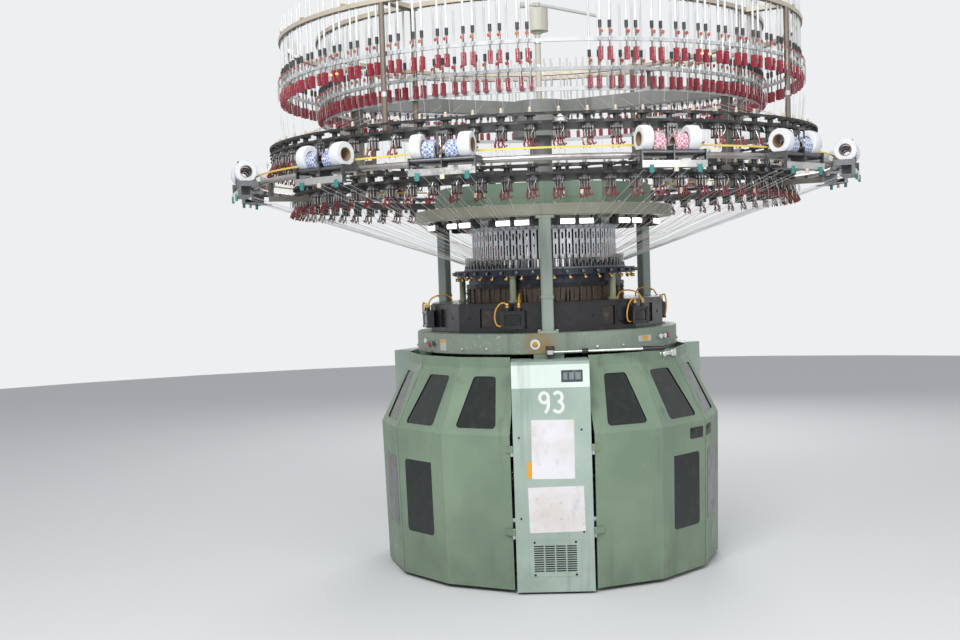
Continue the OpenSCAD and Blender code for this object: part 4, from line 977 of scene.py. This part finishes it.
def on_doors(name, part, level, facet, along, up, material, bodies=tuple(DOORS)):
    """A part made flat on XY, top up, is laid on one panel of each named door, and rides on it."""
    z0, r0, z1, r1 = level
    lean = math.degrees(math.atan2((r0 - r1) * SHRINK, z1 - z0))
    stood = moved(moved(part, (along, up, 0)), (0, -r0 * SHRINK, z0), tip=90 - lean)
    v, f = around(stood, [DOOR_A0 + FOLD * (facet + 0.5)])
    for body in bodies:
        leg, hand = DOORS[body]
        handed = (v * [hand, 1, 1], f[:, ::hand])
        piece(f"{name}_{body}", around(handed, [leg]), material, body)


def window_outline(x0, x1, top0, top1, y0, y1, r, n=4):
    """A window, narrower at the top, clockwise from the lower left, with an arc at each corner."""
    out = []
    corners = (x0, y0, 1, 1, 180), (top0, y1, 1, -1, 90), (top1, y1, -1, -1, 0), (x1, y0, -1, 1, 270)
    for x, y, sx, sy, a in corners:
        t = np.radians(np.linspace(a + 90, a, n))
        out.append(np.stack([x + sx * r + r * np.cos(t), y + sy * r + r * np.sin(t)], -1))
    return np.concatenate(out)


def window_frame(outer, inner, thick=0.0010):
    """A flat ring between two outlines, lifted off the sheet."""
    steps = (outer, 0.0), (outer, thick), (inner, thick), (inner, 0.0)
    return closed_loop(np.stack([at_height(outline, z) for outline, z in steps]))


TOP, SILL = SLOPE_H - 0.046, 0.034
OUTER_R, INNER_R, LAP = 0.012, 0.019, 0.004
for k, (outer, inner) in enumerate([((-0.145, 0.133, -0.131, 0.108), (-0.103, 0.113, -0.061, 0.066)),
                                    ((-0.129, 0.133, -0.106, 0.108), (-0.098, 0.125, -0.1018, 0.065))]):
    frame_plate = window_frame(window_outline(*outer, SILL - LAP, TOP + LAP, OUTER_R),
                               window_outline(*inner, SILL, TOP, INNER_R))
    on_doors(f"slope_frame_{k}", frame_plate, SLOPE, k, 0.0, 0.0, door_green)
pane = pillow(0.218, 0.372, 0.0010, 0.017, 0.0003)
on_doors("tall_pane", pane, LOWER, 1, 0.020, LOW_H - 0.338, window_tint)
patch = pillow(0.160, 0.097, 0.0009, 0.004, 0.0003)
on_doors("tall_patch", patch, LOWER, 1, -0.014, LOW_H - 0.1045, door_green)
PULL_X, RECESS_X = DOOR_R * HALF - 0.081, DOOR_R * HALF - 0.052
lip_of_pull = moved(pillow(0.084, 0.009, 0.008, 0.003, 0.002), (0, 0.014, 0.001))
pull = joined([pillow(0.112, 0.056, 0.003, 0.006, 0.001), lip_of_pull])
on_doors("pull", pull, LOWER, 1, PULL_X, LOW_H - 0.0560, black_plastic, WITH_PULL)
cover = pillow(0.060, 0.054, 0.0010, 0.004, 0.0003)
on_doors("pull_patch", cover, LOWER, 1, RECESS_X, LOW_H - 0.052, door_green,
         [name for name in DOORS if name not in WITH_PULL])
latch_knob = turned([(0.015, 0), (0.015, 0.016), (0.011, 0.019), (0.0, 0.019)], 18)
latch = joined([pillow(0.130, 0.022, 0.006, 0.008, 0.0015), moved(latch_knob, (-0.046, 0, 0.004)),
                moved(pillow(0.040, 0.036, 0.012, 0.006, 0.002), (0.040, 0, 0.004))])
on_doors("chrome_latch", latch, LIP, 1, LIP_R * HALF - 0.068, 0.030, chrome, ["door_front_right"])
print("windows framed, pulls on four doors")

# %% [markdown]
# ## Labels, bolt and nuts on the bed
# Blank marking plates sit beside the push buttons, and a bolt with a white washer holds the
# bed over the front leg.

# %% Bed details
def on_bed(part, azimuth, height, radius=0.705):
    """A part made upright about Z, laid against the bed's rim at this azimuth."""
    return around(facing(part, radius, height), [azimuth])


LEFT_AZ, RIGHT_AZ, BOLT_AZ = -49.6, 44.0, -5.4
labels = joined([on_bed(pillow(0.052, 0.058, 0.0014, 0.003, 0.0004), LEFT_AZ, 1.192),
                 on_bed(pillow(0.098, 0.030, 0.0014, 0.003, 0.0004), RIGHT_AZ, 1.200)])
piece("blank_labels", labels, plastic("aged_label", (0.50, 0.51, 0.48), 0.35, dust=0.35))
washer = turned([(0.010, 0.0), (0.025, 0.0), (0.025, 0.0015), (0.010, 0.0015)], 24)
piece("white_washer", on_bed(washer, BOLT_AZ, 1.196), white_plastic)
bolt = turned([(0.0135, 0.0), (0.015, 0.001), (0.015, 0.007), (0.012, 0.009), (0.0, 0.009)], 6)
piece("bed_bolt", on_bed(bolt, BOLT_AZ, 1.1975), brass)
nut = turned([(0.007, 0.0), (0.0078, 0.0008), (0.0078, 0.005), (0.006, 0.006), (0.0, 0.006)], 6)
NUT_AZ = [-38, -26, 20, 32, 84, 98, 142, 158, 202, 218, 262, 276]
piece("bed_nuts", around(facing(nut, 0.705, 1.174), NUT_AZ), steel)
marks = joined([on_bed(pillow(0.050, 0.014, 0.0018, 0.002, 0.0004), LEFT_AZ, 1.212),
                on_bed(pillow(0.062, 0.022, 0.0018, 0.002, 0.0004), RIGHT_AZ + 1.2, 1.201)])
piece("label_marks", marks, tag_orange)
print("bed details", len(NUT_AZ) + 6)

# %% [markdown]
# ## The hand lever
# The lever is one solid: a chromed bar with a black grip at its end and a black collar part
# way along. The distance from the pivot tells which finish a spot gets: chrome up to the
# bar's end, but not between the collar's two distances.

# %% Lever finish
PIVOT = (0.006, -0.735, 1.158)
BAR_END, COLLAR_IN, COLLAR_OUT, EDGE = 0.4615, 0.1575, 0.1885, 0.001  # distances from the pivot
grip = Finish("chrome_bar_black_grip", (0.018, 0.018, 0.02), rough=0.24)
collar = grip.times(grip.near(PIVOT, COLLAR_OUT, EDGE), grip.near(PIVOT, COLLAR_IN, EDGE), "SUBTRACT")
shine = grip.times(grip.near(PIVOT, BAR_END, EDGE), collar, "SUBTRACT")
grip.tint(shine, (0.78, 0.78, 0.77))
grip.link(shine, grip.shader.inputs["Metallic"])
grip.roughness(grip.noise(40, 4), 0.12, 0.32)
dress(grip.done(), "hand_lever")
print("lever finished")

# %% [markdown]
# ## Yarns
# Yarn runs from each white tube through a stop motion, over a feeder wheel, and down to the
# needles. The long slanting runs to the needles are engineered solids and only get their
# colour here. The short runs above each feeder are straight rods with four sides. Slack
# yarns that hang in pinkish bundles sag a little, so they follow a Catmull-Rom spline, a
# curve where each span blends four neighbouring points.

# %% Yarns
yarn_white = yarn_finish("thin_white_yarn", (0.62, 0.62, 0.62), rings=60.0)
yarn_pink = yarn_finish("thin_pink_yarn", (0.62, 0.46, 0.46), rings=60.0)


def smooth(points, per_span=5):
    """Catmull-Rom curve through points."""
    p = np.asarray(points, float)
    p = np.concatenate([[2 * p[0] - p[1]], p, [2 * p[-1] - p[-2]]])
    t = np.linspace(0, 1, per_span, endpoint=False)[:, None]
    spans = [b + 0.5 * ((c - a) * t + (2 * a - 5 * b + 4 * c - d) * t**2 + (3 * b - a - 3 * c + d) * t**3)
             for a, b, c, d in zip(p[:-3], p[1:-2], p[2:-1], p[3:])]
    return np.concatenate(spans + [p[-2:-1]])


dress(yarn_white, "taut_yarns")
for name, ends, yarn in (("lower_supply_yarns", [(0.002, -1.399, 2.42), (0.004, -1.36, 2.02)], yarn_white),
                         ("upper_supply_yarns", [(-0.004, -1.2, 2.33), (-0.002, -1.448, 2.235)], yarn_pink)):
    piece(name, around(swept(ends, 0.0007, 4), FEED), yarn)
BUNDLES = ((-33, 0.9), (-22, 0.6), (24, 0.7), (36, 0.9))  # azimuth and spread
bundles = []
for az, spread in BUNDLES:
    for k in range(-2, 3):
        path = [(0.05 * k * spread, -1.33, 1.92), (0.02 * k, -1.06, 1.776 - 0.012 * k),
                (0.012 * k, -0.78, 1.70), (0.01 * k, -0.47, 1.60)]
        bundles.append(around(swept(smooth(path), 0.0009, 4), [az]))
piece("slack_yarn_bundles", joined(bundles), yarn_pink)
print("yarns", 2 * len(FEED) + len(bundles))

# %% [markdown]
# ## Belt tensioner and mast collars
# The two toothed belts that drive the feeders are pulled tight by a wheel on a slotted arm
# at the front of the upper ring. Small collars are clamped on the chromed mast.

# %% Tensioner and collars
wheel = turned([(0.006, 0.0), (0.030, 0.0), (0.032, 0.002), (0.0285, 0.004), (0.0285, 0.015), (0.032, 0.017),
                (0.030, 0.019), (0.006, 0.019)], 24)
axle = turned([(0.006, 0), (0.006, 0.030), (0.009, 0.031), (0.009, 0.037), (0.0, 0.038)], 12)
tension = joined([moved(wheel, (0.0, -1.495, 2.194)),
                  moved(pillow(0.030, 0.120, 0.006, 0.014, 0.001), (0.0, -1.455, 2.215)),
                  moved(axle, (0.0, -1.495, 2.19)),
                  moved(pillow(0.050, 0.026, 0.034, 0.004, 0.002), (0.0, -1.404, 2.2125))])
piece("belt_tensioner", around(tension, [leg + 2.5 for leg in LEGS]), steel)
collar = turned([(0.0162, 0.0), (0.022, 0.0), (0.023, 0.001), (0.023, 0.011), (0.022, 0.012),
                 (0.0162, 0.012)], 20)
collars = copies(collar, [(0, 0, z) for z in (2.53, 2.66, 2.79)])
piece("mast_collars", collars, chrome)
print("tensioners 3, collars 3")

# %% [markdown]
# ## Bolts and clamp clips
# Every place where two castings meet has visible bolts; they are the same small turned part
# copied to each seat.

# %% Fasteners
hexagon = turned([(0.009, 0.0), (0.0105, 0.001), (0.0105, 0.0065), (0.008, 0.008), (0.0, 0.008)], 6)
up_bolts = copies(hexagon, [(x, -y, 1.89) for x in (-0.05, 0.05) for y in (0.62, 0.665)])
SEATS, CLIPS = 12, 24
piece("upper_ring_bolts", around(up_bolts, np.arange(SEATS) * 360 / SEATS), steel)
foot_bolt = turned([(0.0075, 0), (0.0085, 0.001), (0.0085, 0.006), (0.0065, 0.007), (0.0, 0.007)], 6)
foot_bolts = copies(foot_bolt, [(x, -0.695, 1.262) for x in (-0.044, 0.044)])
piece("column_bolts", around(foot_bolts, LEGS), steel)
tan = plastic("tan_clip", (0.44, 0.30, 0.16), 0.45, dust=0.2)
clip_ring = moved(pillow(0.012, 0.034, 0.010, 0.003, 0.001), (0, -1.38, 2.814))
piece("clamp_clips", around(clip_ring, np.arange(CLIPS) * 360 / CLIPS + 4), tan)
print("fasteners", 4 * SEATS + 2 * len(LEGS) + CLIPS)

# %% [markdown]
# ## Floor
# The machine stands on a pale grey studio floor that catches its shadow.

# %% Floor
ground = Finish("studio_floor", (0.70, 0.71, 0.72), rough=0.8)
FLOOR_R, FLOOR_LOW, FLOOR_TOP = 14, -0.05, -0.0005
disc = loft([at_height(circle(48) * FLOOR_R, z) for z in (FLOOR_LOW, FLOOR_TOP)])
floor = piece("studio_floor", disc, ground.done())
print("floor laid")
